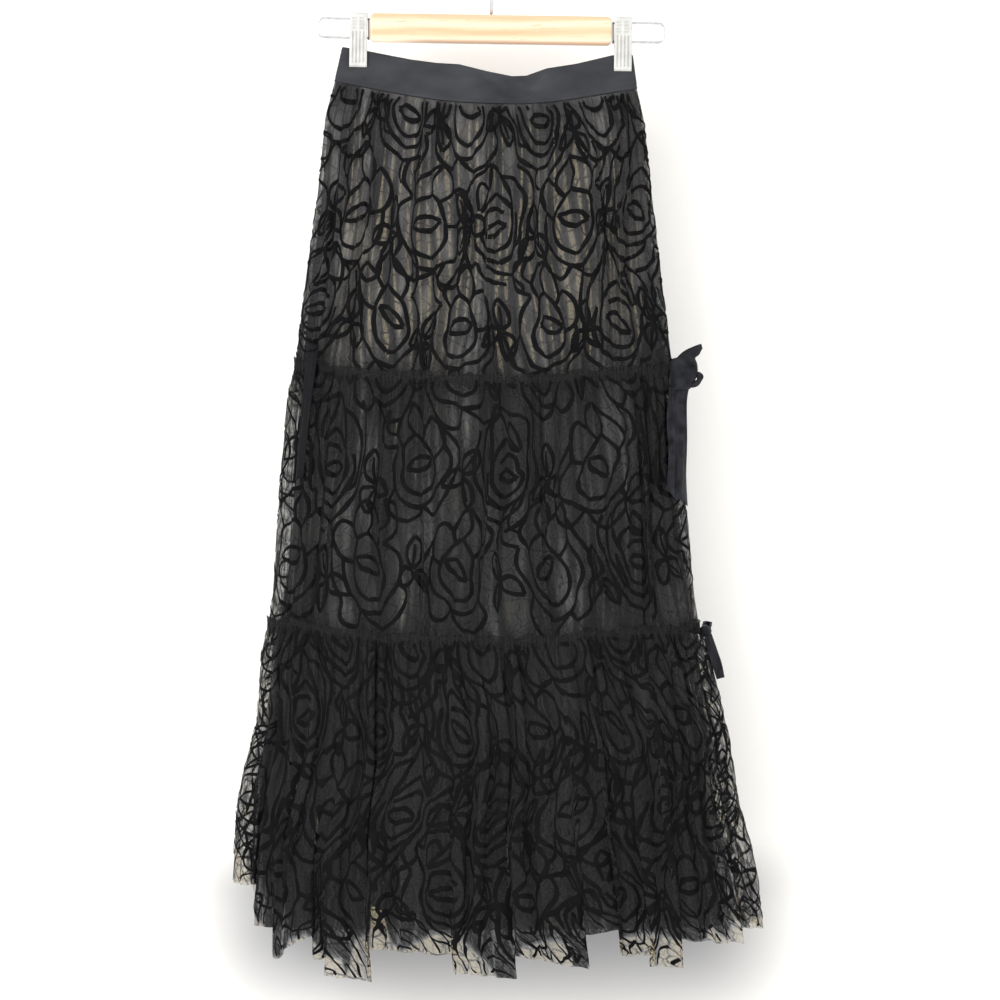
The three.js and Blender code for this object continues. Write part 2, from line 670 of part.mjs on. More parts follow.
function hanger() {
  const group = new THREE.Group();
  group.add(hook(), bar());
  for (const { name, direction } of [{ name: "left", direction: -1 }, { name: "right", direction: 1 }]) {
    group.add(clipLoop(`clip_loop_${name}`, direction));
    group.add(clipJaw(`clip_${name}_front_jaw`, direction * CLIP_MIDDLE, -1));
    group.add(clipJaw(`clip_${name}_back_jaw`, direction * CLIP_MIDDLE, 1));
    group.add(clipSpring(`clip_${name}_spring`, direction));
  }
  group.rotation.y = HANGER_TILT;
  return group;
}

const object = new THREE.Group();
object.add(hanger(), skirt());

export default object;
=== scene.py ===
"""A tiered tulle skirt on a clip hanger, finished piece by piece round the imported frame.

The tables and shapes are in millimetres and the meshes in metres, in the frame's own axes: +X to
the right of the view, -Y towards the viewer, +Z up, and the origin at the inner top of the hook.
A place on the skirt is given by how far round it lies (0 at the left side fold, 0.25 in the middle
of the front, 0.5 at the right side fold, 0.75 in the middle of the back) and by its level.
"""

import logging
import math
from dataclasses import dataclass, field
from enum import Enum
from typing import Callable, NamedTuple, Optional, Sequence, Union

import bpy
import numpy as np
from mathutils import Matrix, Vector


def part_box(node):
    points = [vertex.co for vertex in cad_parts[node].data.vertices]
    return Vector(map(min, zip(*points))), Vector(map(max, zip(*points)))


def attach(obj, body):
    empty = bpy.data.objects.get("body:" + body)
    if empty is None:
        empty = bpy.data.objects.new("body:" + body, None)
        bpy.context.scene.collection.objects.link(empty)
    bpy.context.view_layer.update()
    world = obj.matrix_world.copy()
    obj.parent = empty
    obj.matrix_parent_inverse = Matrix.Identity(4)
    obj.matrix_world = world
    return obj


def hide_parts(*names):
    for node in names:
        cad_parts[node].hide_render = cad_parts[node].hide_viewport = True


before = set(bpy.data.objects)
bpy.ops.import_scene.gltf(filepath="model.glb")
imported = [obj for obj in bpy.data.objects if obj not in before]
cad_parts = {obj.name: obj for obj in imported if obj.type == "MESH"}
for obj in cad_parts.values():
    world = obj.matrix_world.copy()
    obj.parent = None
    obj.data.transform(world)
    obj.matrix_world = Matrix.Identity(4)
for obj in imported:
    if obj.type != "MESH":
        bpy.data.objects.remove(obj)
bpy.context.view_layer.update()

Array = np.ndarray
Color = tuple[float, float, float]
log = logging.getLogger("skirt")

BODY = "root"
METRE = 0.001
TURN = 2 * math.pi

# Sizes shared with the part's source, in millimetres
SKIRT_SIDEWAYS = -3.5
FOLDED_HALF = 3.6
LINING_INSET = 2.3
SEAM_GAP = 0.3
UPPER_SEAM = -438.0
LOWER_SEAM = -691.0
HEM_LEVEL = -990.0
LINING_HEM = -991.0
WAIST_LEVEL = -152.0
FOLD_SQUARENESS = 12
OPEN_SHARE = 0.8
HANGER_TILT = math.radians(0.9)
FLUTE_WIDTH = 5.0
ORIGIN_PX = (492.5, -66.0)

# Each tier seam's sag in its middle and the half width where it is level with the plan
SEAM_BOWS = {UPPER_SEAM: (7.5, 135.0), LOWER_SEAM: (13.0, 190.0)}

# Where the front hem turns from dense to clear net: pixel across and pixel down
HEM_CLEAR_PX = (
    (236, 842), (252, 872), (256, 911), (266, 918), (271, 949), (286, 951), (291, 931), (309, 926), (326, 944),
    (344, 949), (349, 966), (357, 931), (370, 924), (373, 894), (385, 899), (391, 929), (402, 941), (413, 934),
    (437, 923), (460, 926), (471, 937), (488, 953), (499, 970), (516, 976), (521, 936), (545, 930), (567, 933),
    (573, 957), (586, 968), (590, 927), (618, 928), (650, 924), (679, 931), (701, 934), (708, 919), (722, 930),
    (736, 914), (744, 929), (749, 914), (768, 915),
)


class Level(NamedTuple):
    """The plan of a cloth tube at one height: its side folds, its depth, and how oval it is."""

    z: float
    left: float
    right: float
    deep: float
    oval: float


TULLE_LEVELS = (
    Level(-152, -155, 148.5, 9.5, 0),
    Level(-186, -164, 156, 13, 0.2),
    Level(-226, -168, 160, 18, 0.45),
    Level(-266, -172, 164, 22, 0.65),
    Level(-346, -183, 173, 29, 0.9),
    Level(-438, -194, 184, 34, 1),
    Level(-466, -201, 188, 38, 1),
    Level(-546, -209, 195, 44, 1),
    Level(-626, -214, 202, 48, 1),
    Level(-666, -217, 206, 49, 1),
    Level(-691, -221, 210, 50, 1),
    Level(-726, -228, 222, 54, 1),
    Level(-766, -230, 232, 57, 1),
    Level(-806, -233, 241, 59, 1),
    Level(-866, -247, 250, 62, 1),
    Level(-906, -253, 262, 64, 1),
    Level(-946, -255, 270, 66, 1),
    Level(-990, -256, 275, 68, 1),
)
LINING_LEVELS = (
    Level(-152, -153.2, 146.7, 9.5, 0),
    Level(-186, -160, 152, 11, 0.2),
    Level(-266, -166.5, 158, 18, 0.65),
    Level(-346, -177, 166, 24, 0.9),
    Level(-438, -187, 176, 29, 1),
    Level(-516, -190, 183, 34, 1),
    Level(-626, -199, 195, 41, 1),
    Level(-766, -221, 216, 47, 1),
    Level(-866, -231, 222, 51, 1),
    Level(-991, -235, 234, 54, 1),
)
BAND_LEVELS = (
    Level(0, -147, 144, 9.5, 0),
    Level(-1, -155, 148.5, 9.5, 0),
)


class WaistStation(NamedTuple):
    """The waistband at one place across: its upper edges, its lower edge and how far it tips."""

    x: float
    front_top: float
    back_top: float
    bottom: float
    tip: float


WAIST = (
    WaistStation(-155, -113, -113, -148, 0),
    WaistStation(-147, -113, -113, -149, 0),
    WaistStation(-122, -117, -118, -154, 0),
    WaistStation(-78, -126, -128, -162.6, 0),
    WaistStation(-53, -129.5, -134, -166.5, 0.5),
    WaistStation(-30, -131, -139, -169, 1.5),
    WaistStation(-1, -138, -143, -170.4, 4),
    WaistStation(23, -142.5, -146, -170.8, 7),
    WaistStation(37, -142, -146, -170.6, 7),
    WaistStation(58, -134.5, -143, -169, 4),
    WaistStation(87, -130, -135, -165, 1),
    WaistStation(123, -121.5, -123.5, -159, 0),
    WaistStation(149, -120.5, -120.5, -155, 0),
)


class HemStretch(NamedTuple):
    """A stretch of the raw hem between two folds: where it starts and how low its ends hang."""

    x: float
    start: float
    end: float


FRONT_HEM = (
    HemStretch(-260, -949, -949),
    HemStretch(-229, -990, -990),
    HemStretch(-213, -1025, -1019),
    HemStretch(-200, -1016, -996),
    HemStretch(-174, -1021, -1026),
    HemStretch(-160, -1038, -1046),
    HemStretch(-118, -1013, -1021),
    HemStretch(-33, -1037, -1043),
    HemStretch(27, -1019, -1034),
    HemStretch(97, -999, -994),
    HemStretch(131, -1018, -1020),
    HemStretch(161, -1029, -1031),
    HemStretch(190, -1003, -1007),
    HemStretch(251, -990, -995),
    HemStretch(280, -995, -995),
)
BACK_HEM = (
    HemStretch(-260, -949, -949),
    HemStretch(-236, -984, -989),
    HemStretch(-150, -980, -988),
    HemStretch(-62, -990, -983),
    HemStretch(41, -981, -989),
    HemStretch(118, -985, -979),
    HemStretch(196, -986, -990),
    HemStretch(254, -990, -995),
    HemStretch(280, -995, -995),
)


def smooth_step(value: Array, low: float, high: float) -> Array:
    """Rises from 0 at low to 1 at high with level ends.

    Args:
        value: the numbers to read it at.
        low: where it leaves 0.
        high: where it reaches 1.

    Returns:
        3 t^2 - 2 t^3 of the clamped share t of the way from low to high.
    """
    share = np.clip((value - low) / (high - low), 0, 1)
    return share * share * (3 - 2 * share)


def seam_sag(seam: float, x: Array) -> Array:
    """Gives how far a tier seam hangs below its plan at places across, wandering a little."""
    deep, half = SEAM_BOWS[seam]
    return deep * (1 - (x / half) ** 2 + 0.16 * np.sin(x / 23) + 0.1 * np.sin(x / 9))


def waist_edge(x: Array, column: str) -> Array:
    """Reads one column of the waist table in straight lines.

    Args:
        x: places across, in millimetres.
        column: the table's column.

    Returns:
        The column's value at each place.
    """
    return np.interp(x, [row.x for row in WAIST], [getattr(row, column) for row in WAIST])


class HemLine:
    """The height of the raw hem below each place across, with its steps slightly rounded."""

    def __init__(self, stretches: Sequence[HemStretch], lift: float) -> None:
        """Samples the stretches every half millimetre and softens them.

        Args:
            stretches: the hem's stretches from left to right.
            lift: how much higher the middle hangs, in millimetres, for a hem nearer the eye.
        """
        self.stretches = stretches
        self.x = np.arange(stretches[0].x, stretches[-1].x, 0.5)
        starts = np.array([row.x for row in stretches])
        index = np.clip(np.searchsorted(starts, self.x, side="right") - 1, 0, len(stretches) - 2)
        first = np.array([row.start for row in stretches])[index]
        last = np.array([row.end for row in stretches])[index]
        share = (self.x - starts[index]) / (starts[index + 1] - starts[index])
        height = first + (last - first) * share
        width = 15
        kernel = np.hanning(width + 2)[1:-1]
        padded = np.pad(height, width // 2, mode="edge")
        soft = np.convolve(padded, kernel / kernel.sum(), mode="valid")
        frayed = 0.7 * np.sin(self.x / 4.3 + 2 * np.sin(self.x / 31)) + 0.5 * np.sin(self.x / 1.9)
        middle = 1 - (self.x / 262) ** 2
        self.height = soft + frayed + lift * np.clip(middle, 0, 1)

    def at(self, x: Array) -> Array:
        """Returns the hem's height below each place x, in millimetres."""
        return np.interp(x, self.x, self.height)

    def flutes(self, x: Array) -> tuple[Array, Array]:
        """Folds the free edge back on itself at each step, so that its right side lies on top.

        Over the distance d from a step, in fold widths, the cloth is drawn towards the step by
        d exp(-d^2 / 2), and it stands out by a soft step that rises with d.

        Args:
            x: places across at the hem, in millimetres.

        Returns:
            How far the cloth stands out and how far it moves sideways, for a full fold of 1 mm.
        """
        places = np.array([row.x for row in self.stretches[1:-1]])
        apart = (x[..., None] - places) / FLUTE_WIDTH
        near = np.exp(-apart * apart / 2)
        raised = np.exp(-((apart - 1.1) ** 2) / 5) - 0.6 * np.exp(-((apart + 1.1) ** 2) / 5)
        return raised.sum(-1), -(apart * near).sum(-1)


@dataclass(frozen=True)
class ClothTube:
    """A flattened tube of cloth: its plan level by level, and half its thickness at the folds."""

    levels: Sequence[Level]
    folded: float = FOLDED_HALF

    def read(self, level: Array, column: str) -> Array:
        """Reads one column of the plan at each level, in straight lines."""
        heights = [-row.z for row in self.levels]
        return np.interp(-level, heights, [getattr(row, column) for row in self.levels])

    def section(self, around: Array, level: Array, inset: float = 0.0) -> tuple[Array, Array]:
        """Gives the plan of the tube at places round it.

        The place across a panel is half a cosine and half a straight line of the way over it. The
        cloth stands from the middle plane by a flat fold that ends bluntly, and on that by a
        bulge between the clips that turns into an oval lower down.

        Args:
            around: how far round the tube, 0 to 1.
            level: the height whose plan is read, in millimetres.
            inset: how far inside the outer surface, in millimetres.

        Returns:
            x and y in millimetres, y negative in front.
        """
        turned = np.mod(around, 1.0)
        front = turned < 0.5
        over = np.where(front, 2 * turned, 2 * (1 - turned))
        across = -0.5 * np.cos(math.pi * over) + 0.5 * (2 * over - 1)
        left, right = self.read(level, "left"), self.read(level, "right")
        deep, oval = self.read(level, "deep"), self.read(level, "oval")
        x = (left + right) / 2 + ((right - left) / 2 - inset) * across
        blunt = np.clip(1 - np.abs(across) ** FOLD_SQUARENESS, 0, 1) ** (1 / FOLD_SQUARENESS)
        pinched = np.where(np.abs(across) < OPEN_SHARE, np.cos(math.pi * across / (2 * OPEN_SHARE)) ** 2, 0)
        round_plan = np.sqrt(np.clip(1 - across * across, 0, 1))
        away = (self.folded - inset) * blunt + deep * (pinched * (1 - oval) + round_plan * oval)
        return x, np.where(front, -away, away)

    def outward(self, around: Array, level: Array) -> tuple[Array, Array]:
        """Gives the level direction that points out of the cloth.

        Args:
            around: how far round the tube.
            level: the height in millimetres.

        Returns:
            The direction's x and y: the section's run turned a quarter to the right.
        """
        step = 0.002
        after_x, after_y = self.section(around + step, level)
        before_x, before_y = self.section(around - step, level)
        run_x, run_y = after_x - before_x, after_y - before_y
        length = np.hypot(run_x, run_y) + 1e-9
        return run_y / length, -run_x / length


class Sides(NamedTuple):
    """How full a tier's net is beside its folds: where that starts, and how full down its drop."""

    left_start: float
    right_start: float
    shares: tuple[float, ...]
    left: tuple[float, ...]
    right: tuple[float, ...]
    holes: float

    def full(self, over: Array, share: Array) -> Array:
        """Gives how full the net is against the middle of its panel.

        Holes are the hills of two bent sines, one across the panel and one down the drop. They
        fall in the same places on both panels, so that the light comes through.

        Args:
            over: the share of the way over a panel.
            share: the share of the drop.

        Returns:
            The factor, 1 away from the folds.
        """
        hills = np.sin(TURN * 36 * over + 3 * np.sin(TURN * 5 * share))
        hills = hills * np.sin(TURN * 8 * share + 4 * np.sin(TURN * 15 * over))
        worn = 1 - self.holes * smooth_step(hills, 0.0, 0.5)
        left, right = self.near(over)
        full = 1 + left * (np.interp(share, self.shares, self.left) * worn - 1)
        return full + right * (np.interp(share, self.shares, self.right) * worn - 1)

    def near(self, over: Array) -> tuple[Array, Array]:
        """Gives how near the left and the right fold each share of the way over a panel is, 0 to 1."""
        turned = 2 * over - 1
        left = smooth_step(-turned, self.left_start, self.left_start + 0.1)
        return left, smooth_step(turned, self.right_start, self.right_start + 0.14)


def over_panel(around: Array) -> Array:
    """Turns a place round the tube into its share of the way over the front or back panel."""
    turned = np.mod(around, 1.0)
    return np.where(turned < 0.5, 2 * turned, 2 * (1 - turned))


def away_from_sides(over: Array) -> Array:
    """Fades 1 to 0 into the side folds, by a sine that is cut off at a quarter."""
    return np.minimum(1, np.sin(math.pi * np.clip(over, 0, 1)) / 0.25)


def well_inside(over: Array) -> Array:
    """Fades 1 to 0 before the side folds, where cloth that overhangs would tangle."""
    return smooth_step(0.5 - np.abs(over - 0.5), 0.02, 0.14)


class Lay(NamedTuple):
    """How gathered cloth lies at a place: off its plan, sideways, and how much of it is tucked in."""

    stand: Array
    sideways: Array
    tucked: Array


@dataclass(frozen=True)
class Gathers:
    """The gathers of one tier: how many to a side, how uneven, and how deep down the drop."""

    folds: int
    slow: int
    quick: int
    shares: tuple[float, ...]
    depths: tuple[float, ...]
    fine: float
    drop: float
    overhang: float

    def phase(self, over: Array) -> Array:
        """Finds which gather a place lies in, by turning the uneven spacing round."""
        even = np.linspace(0, 1, 4001)
        uneven = even + 0.01 * np.sin(TURN * self.slow * even) + 0.006 * np.sin(TURN * self.quick * even)
        return np.interp(over, uneven, even)

    def lay(self, around: Array, share: Array) -> Lay:
        """Gathers the cloth.

        Each gather rises as half a cosine of the place in it to the power 0.8, so that its near
        side is the steeper one, and both of its flanks lean in by the sine of twice its turn, so
        that it overhangs. Its size changes from gather to gather, and it sways sideways down the
        drop. Two fine gathers lie on each of them and fade away from the seams. Some cloth is
        tucked out of sight where two gathers meet.

        Args:
            around: how far round the tube.
            share: the share of the drop, 0 at the upper seam.

        Returns:
            The lay, in millimetres; tucked is the length of cloth for each millimetre that shows.
        """
        over = over_panel(around)
        behind = np.where(np.mod(around, 1.0) < 0.5, 0.0, 1.7)
        phase = self.phase(over)
        sway = (0.45 / self.folds) * np.sin(TURN * (0.8 * share + 3.1 * phase) + behind)
        place = np.clip(phase + sway * share, 0, 0.99999) * self.folds
        fold = np.floor(place)
        within = place - fold
        size = 0.7 + 0.2 * np.sin(fold * 2.4 + self.slow) + 0.12 * np.sin(fold * 0.9 + self.quick + behind)
        size = size * np.clip(1 + 0.3 * np.sin(TURN * (1.4 * share + 0.37 * fold) + behind), 0, 1.25)
        puff = np.interp(share, self.shares, self.depths)
        broad = (0.5 - 0.5 * np.cos(TURN * within**0.8)) * size
        count = 2 * self.folds
        ripple = TURN * count * phase + 1.9 * np.sin(TURN * 5.3 * phase) + 1.3 * np.sin(9 * share + 2)
        from_top = share * self.drop
        from_bottom = (1 - share) * self.drop
        held = np.exp(-from_top / 42) * smooth_step(from_top, -2, 9) + 0.6 * np.exp(-from_bottom / 22)
        fine = self.fine * (0.5 + 0.5 * np.sin(ripple)) * (0.25 + held)
        fade = away_from_sides(over)
        open_here = smooth_step(share, 0.0, 0.12)
        sideways = self.overhang * np.sin(2 * TURN * within) * size * open_here * well_inside(over)
        seam = np.minimum(within, 1 - within)
        tucked = 1 + fade * (3.4 * size * np.exp(-((seam / 0.06) ** 2)) + 0.5 * held)
        return Lay((broad * puff + fine) * fade, sideways, tucked)


class Meshwork:
    """Turns grids of points worked out with numpy into pieces that ride on the body."""

    @staticmethod
    def faces(rows: int, columns: int, wrap: bool = False, start: int = 0) -> Array:
        """Lists the four corners of each face of a grid.

        Args:
            rows: how many rows of points.
            columns: how many points in a row.
            wrap: whether the last column joins the first.
            start: the index of the grid's first point.

        Returns:
            An array of corner indices, four to a face, in row order.
        """
        index = start + np.arange(rows * columns).reshape(rows, columns)
        after = np.roll(index, -1, axis=1) if wrap else index[:, 1:]
        here = index if wrap else index[:, :-1]
        corners = [here[:-1], here[1:], after[1:], after[:-1]]
        return np.stack(corners, axis=-1).reshape(-1, 4)

    @staticmethod
    def piece(
        name: str,
        points: Array,
        faces: Array,
        finish: bpy.types.Material,
        slot: str,
        uv: Optional[Array] = None,
    ) -> bpy.types.Object:
        """Makes a smooth mesh piece from millimetre points.

        Args:
            name: the piece's name.
            points: the corners, in millimetres.
            faces: four corner indices for each face.
            finish: the material it wears.
            slot: not used.
            uv: a place on the cloth for each corner of each face, in metres, if there is one.

        Returns:
            The piece, at the origin and riding on the body.
        """
        mesh = bpy.data.meshes.new(name)
        flat = np.ascontiguousarray(points.reshape(-1, 3) * METRE, dtype=np.float32)
        mesh.vertices.add(len(flat))
        mesh.vertices.foreach_set("co", flat.ravel())
        mesh.loops.add(faces.size)
        mesh.loops.foreach_set("vertex_index", faces.astype(np.int32).ravel())
        mesh.polygons.add(len(faces))
        mesh.polygons.foreach_set("loop_start", np.arange(0, faces.size, faces.shape[1], dtype=np.int32))
        mesh.polygons.foreach_set("use_smooth", np.ones(len(faces), dtype=bool))
        if uv is not None:
            layer = mesh.uv_layers.new(name="cloth")
            layer.data.foreach_set("uv", np.ascontiguousarray(uv, dtype=np.float32).ravel())
        mesh.update(calc_edges=True)
        mesh.validate()
        mesh.materials.append(finish)
        made = bpy.data.objects.new(name, mesh)
        bpy.context.scene.collection.objects.link(made)
        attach(made, BODY)
        return made

    @staticmethod
    def thicken(piece: bpy.types.Object, wall: float, offset: float = -1.0) -> None:
        """Gives an open sheet its wall.

        Args:
            piece: the sheet.
            wall: its thickness in millimetres.
            offset: -1 keeps the outer face where it is, 0 shares the wall between both sides.
        """
        solid = piece.modifiers.new("wall", "SOLIDIFY")
        solid.thickness = wall * METRE
        solid.offset = offset
        solid.use_even_offset = False

    @staticmethod
    def sweep(path: Array, radius: float, sides: int) -> tuple[Array, Array]:
        """Carries a round section along a level-or-upright path, with closed ends.

        The ring at each point lies square to the path's run: it is spanned by the depth axis and
        by the run turned a quarter in the hanger's plane.

        Args:
            path: points in millimetres in the plane y = 0.
            radius: the wire's radius.
            sides: how many corners a ring has.

        Returns:
            Points and faces.
        """
        run = np.gradient(path, axis=0)
        run /= np.linalg.norm(run, axis=1, keepdims=True)
        across = np.stack([run[:, 2], np.zeros(len(run)), -run[:, 0]], axis=1)
        angle = TURN * np.arange(sides) / sides
        depth = np.array([0.0, 1.0, 0.0])
        ring = across[:, None, :] * np.cos(angle)[None, :, None] + depth * np.sin(angle)[None, :, None]
        tips = [path[:1, None, :] - run[:1, None, :] * radius * 0.5 + ring[:1] * 1e-3]
        body = path[:, None, :] + ring * radius
        tips.append(path[-1:, None, :] + run[-1:, None, :] * radius * 0.5 + ring[-1:] * 1e-3)
        points = np.concatenate([tips[0], body, tips[1]], axis=0)
        return points, Meshwork.faces(len(path) + 2, sides, wrap=True)


Feed = Union["Number", bpy.types.NodeSocket, float, int, Sequence[float]]


class Number:
    """A number that varies over a surface, in Python's own arithmetic."""

    def __init__(self, bench: "Bench", socket: bpy.types.NodeSocket) -> None:
        """Wraps a socket of the bench's tree."""
        self.bench = bench
        self.socket = socket

    def _math(self, operation: str, *values: Feed) -> "Number":
        """Adds one Math node for an operation on the values."""
        inputs = dict(enumerate(values))
        made = self.bench.node("ShaderNodeMath", {"operation": operation}, inputs)
        return Number(self.bench, made.outputs[0])

    def __add__(self, other: Feed) -> "Number":
        """Adds."""
        return self._math("ADD", self, other)

    def __radd__(self, other: Feed) -> "Number":
        """Adds, from the right."""
        return self._math("ADD", other, self)

    def __sub__(self, other: Feed) -> "Number":
        """Takes away."""
        return self._math("SUBTRACT", self, other)

    def __rsub__(self, other: Feed) -> "Number":
        """Takes this away."""
        return self._math("SUBTRACT", other, self)

    def __mul__(self, other: Feed) -> "Number":
        """Multiplies."""
        return self._math("MULTIPLY", self, other)

    def __rmul__(self, other: Feed) -> "Number":
        """Multiplies, from the right."""
        return self._math("MULTIPLY", other, self)

    def __pow__(self, other: Feed) -> "Number":
        """Raises to a power."""
        return self._math("POWER", self, other)

    def at_least(self, other: Feed) -> "Number":
        """Takes the larger of two."""
        return self._math("MAXIMUM", self, other)

    def at_most(self, other: Feed) -> "Number":
        """Takes the smaller of two."""
        return self._math("MINIMUM", self, other)

    def wave(self) -> "Number":
        """Takes the sine."""
        return self._math("SINE", self)

    def rise(self, low: float, high: float, start: float = 0.0, end: float = 1.0) -> "Number":
        """Maps low to start and high to end with level ends.

        Args:
            low: where it leaves start.
            high: where it reaches end.
            start: the value at and before low.
            end: the value at and after high.

        Returns:
            The mapped number.
        """
        values = {"Value": self, "From Min": low, "From Max": high, "To Min": start, "To Max": end}
        made = self.bench.node("ShaderNodeMapRange", {"interpolation_type": "SMOOTHSTEP"}, values)
        return Number(self.bench, made.outputs["Result"])


class Bench:
    """One material under construction: its tree, its shader and the nodes that feed it."""

    def __init__(self, name: str, **shader: Union[float, Color]) -> None:
        """Starts a material.

        Args:
            name: the material's name.
            shader: values that are the same all over, by socket name with _ for a space.
        """
        self.material = bpy.data.materials.new(name)
        self.material.use_nodes = True
        self.tree = self.material.node_tree
        self.shader = self.tree.nodes["Principled BSDF"]
        for socket, value in shader.items():
            filled = (*value, 1.0) if isinstance(value, tuple) else value
            self.shader.inputs[socket.replace("_", " ")].default_value = filled

    def feed(self, socket: bpy.types.NodeSocket, value: Feed) -> None:
        """Links a number or socket, or sets a plain value."""
        if isinstance(value, Number):
            self.tree.links.new(value.socket, socket)
        elif isinstance(value, bpy.types.NodeSocket):
            self.tree.links.new(value, socket)
        else:
            socket.default_value = value

    def node(self, kind: str, settings: dict, values: dict) -> bpy.types.Node:
        """Adds one node.

        Args:
            kind: the node's type.
            settings: its own settings, set first; stops fill a colour ramp.
            values: the value or link of each input, by name or index.

        Returns:
            The node.
        """
        made = self.tree.nodes.new(kind)
        for name, setting in settings.items():
            if name == "stops":
                self._fill_ramp(made.color_ramp, setting)
            else:
                setattr(made, name, setting)
        for name, value in values.items():
            self.feed(made.inputs[name], value)
        return made

    @staticmethod
    def _fill_ramp(ramp: bpy.types.ColorRamp, stops: Sequence[tuple[float, Color]]) -> None:
        """Puts stops of place and colour into a ramp that has two to start with."""
        for _ in range(len(stops) - 2):
            ramp.elements.new(0.5)
        for element, (place, color) in zip(ramp.elements, stops):
            element.position = place
            element.color = (*color, 1.0)

    def cloth(self, stretch: Sequence[float] = (1, 1, 1)) -> bpy.types.NodeSocket:
        """Reads the place on the cut cloth in metres, stretched."""
        place = self.node("ShaderNodeTexCoord", {}, {}).outputs["UV"]
        return self.node("ShaderNodeMapping", {}, {"Vector": place, "Scale": stretch}).outputs[0]

    def place(self, stretch: Sequence[float] = (1, 1, 1)) -> bpy.types.NodeSocket:
        """Reads the place on the object in metres, stretched."""
        place = self.node("ShaderNodeTexCoord", {}, {}).outputs["Object"]
        return self.node("ShaderNodeMapping", {}, {"Vector": place, "Scale": stretch}).outputs[0]

    def part(self, vector: bpy.types.NodeSocket, axis: str) -> Number:
        """Takes one coordinate, X, Y or Z, of a place."""
        return Number(self, self.node("ShaderNodeSeparateXYZ", {}, {"Vector": vector}).outputs[axis])

    def noise(self, vector: bpy.types.NodeSocket, scale: float, detail: float = 3.0, plane: bool = False) -> Number:
        """Reads fractal noise between about 0 and 1, in a plane or in space."""
        values = {"Vector": vector, "Scale": scale, "Detail": detail}
        settings = {"noise_dimensions": "2D" if plane else "3D"}
        return Number(self, self.node("ShaderNodeTexNoise", settings, values).outputs[0])

    def webs(self, vector: bpy.types.NodeSocket, scale: float) -> Number:
        """Reads the distance to the nearest border between random cells of a plane."""
        settings = {"feature": "DISTANCE_TO_EDGE", "voronoi_dimensions": "2D"}
        made = self.node("ShaderNodeTexVoronoi", settings, {"Vector": vector, "Scale": scale})
        return Number(self, made.outputs["Distance"])

    def carried(self, name: str) -> Number:
        """Reads a number that the mesh carries at its corners."""
        made = self.node("ShaderNodeAttribute", {"attribute_name": name}, {})
        return Number(self, made.outputs["Fac"])

    def constant(self, value: float) -> Number:
        """Holds a plain number."""
        made = self.node("ShaderNodeValue", {}, {})
        made.outputs[0].default_value = value
        return Number(self, made.outputs[0])

    def shifted(self, vector: bpy.types.NodeSocket, scale: float, amount: float) -> bpy.types.NodeSocket:
        """Moves a place by noise, so that a pattern on it isn't straight."""
        values = {"Vector": vector, "Scale": scale, "Detail": 2.0}
        cloud = self.node("ShaderNodeTexNoise", {}, values).outputs[1]
        add = {"operation": "MULTIPLY_ADD"}
        values = {0: cloud, 1: (amount, amount, amount), 2: vector}
        return self.node("ShaderNodeVectorMath", add, values).outputs[0]

    def ramp(self, number: Number, stops: Sequence[tuple[float, Color]]) -> bpy.types.NodeSocket:
        """Colours a number by stops of place and colour."""
        return self.node("ShaderNodeValToRGB", {"stops": stops}, {"Fac": number}).outputs["Color"]

    def mixed(self, share: Feed, first: Feed, second: Feed) -> bpy.types.NodeSocket:
        """Mixes two colours by a share."""
        values = {0: share, 6: self.filled(first), 7: self.filled(second)}
        return self.node("ShaderNodeMix", {"data_type": "RGBA"}, values).outputs[2]

    @staticmethod
    def filled(color: Feed) -> Feed:
        """Adds a full alpha to a plain colour."""
        return (*color, 1.0) if isinstance(color, tuple) else color

    def color(self, color: Feed) -> None:
        """Sets the colour that varies."""
        self.feed(self.shader.inputs["Base Color"], self.filled(color))

    def rough(self, number: Feed) -> None:
        """Sets the roughness that varies."""
        self.feed(self.shader.inputs["Roughness"], number)

    def alpha(self, number: Feed) -> None:
        """Sets how much the surface covers."""
        self.feed(self.shader.inputs["Alpha"], number)

    def relief(self, height: Number, millimetres: float, strength: float = 1.0) -> None:
        """Raises the surface by a height number of 0 to 1, in millimetres at 1."""
        values = {"Height": height, "Distance": millimetres * METRE, "Strength": strength}
        bump = self.node("ShaderNodeBump", {}, values)
        self.feed(self.shader.inputs["Normal"], bump.outputs["Normal"])


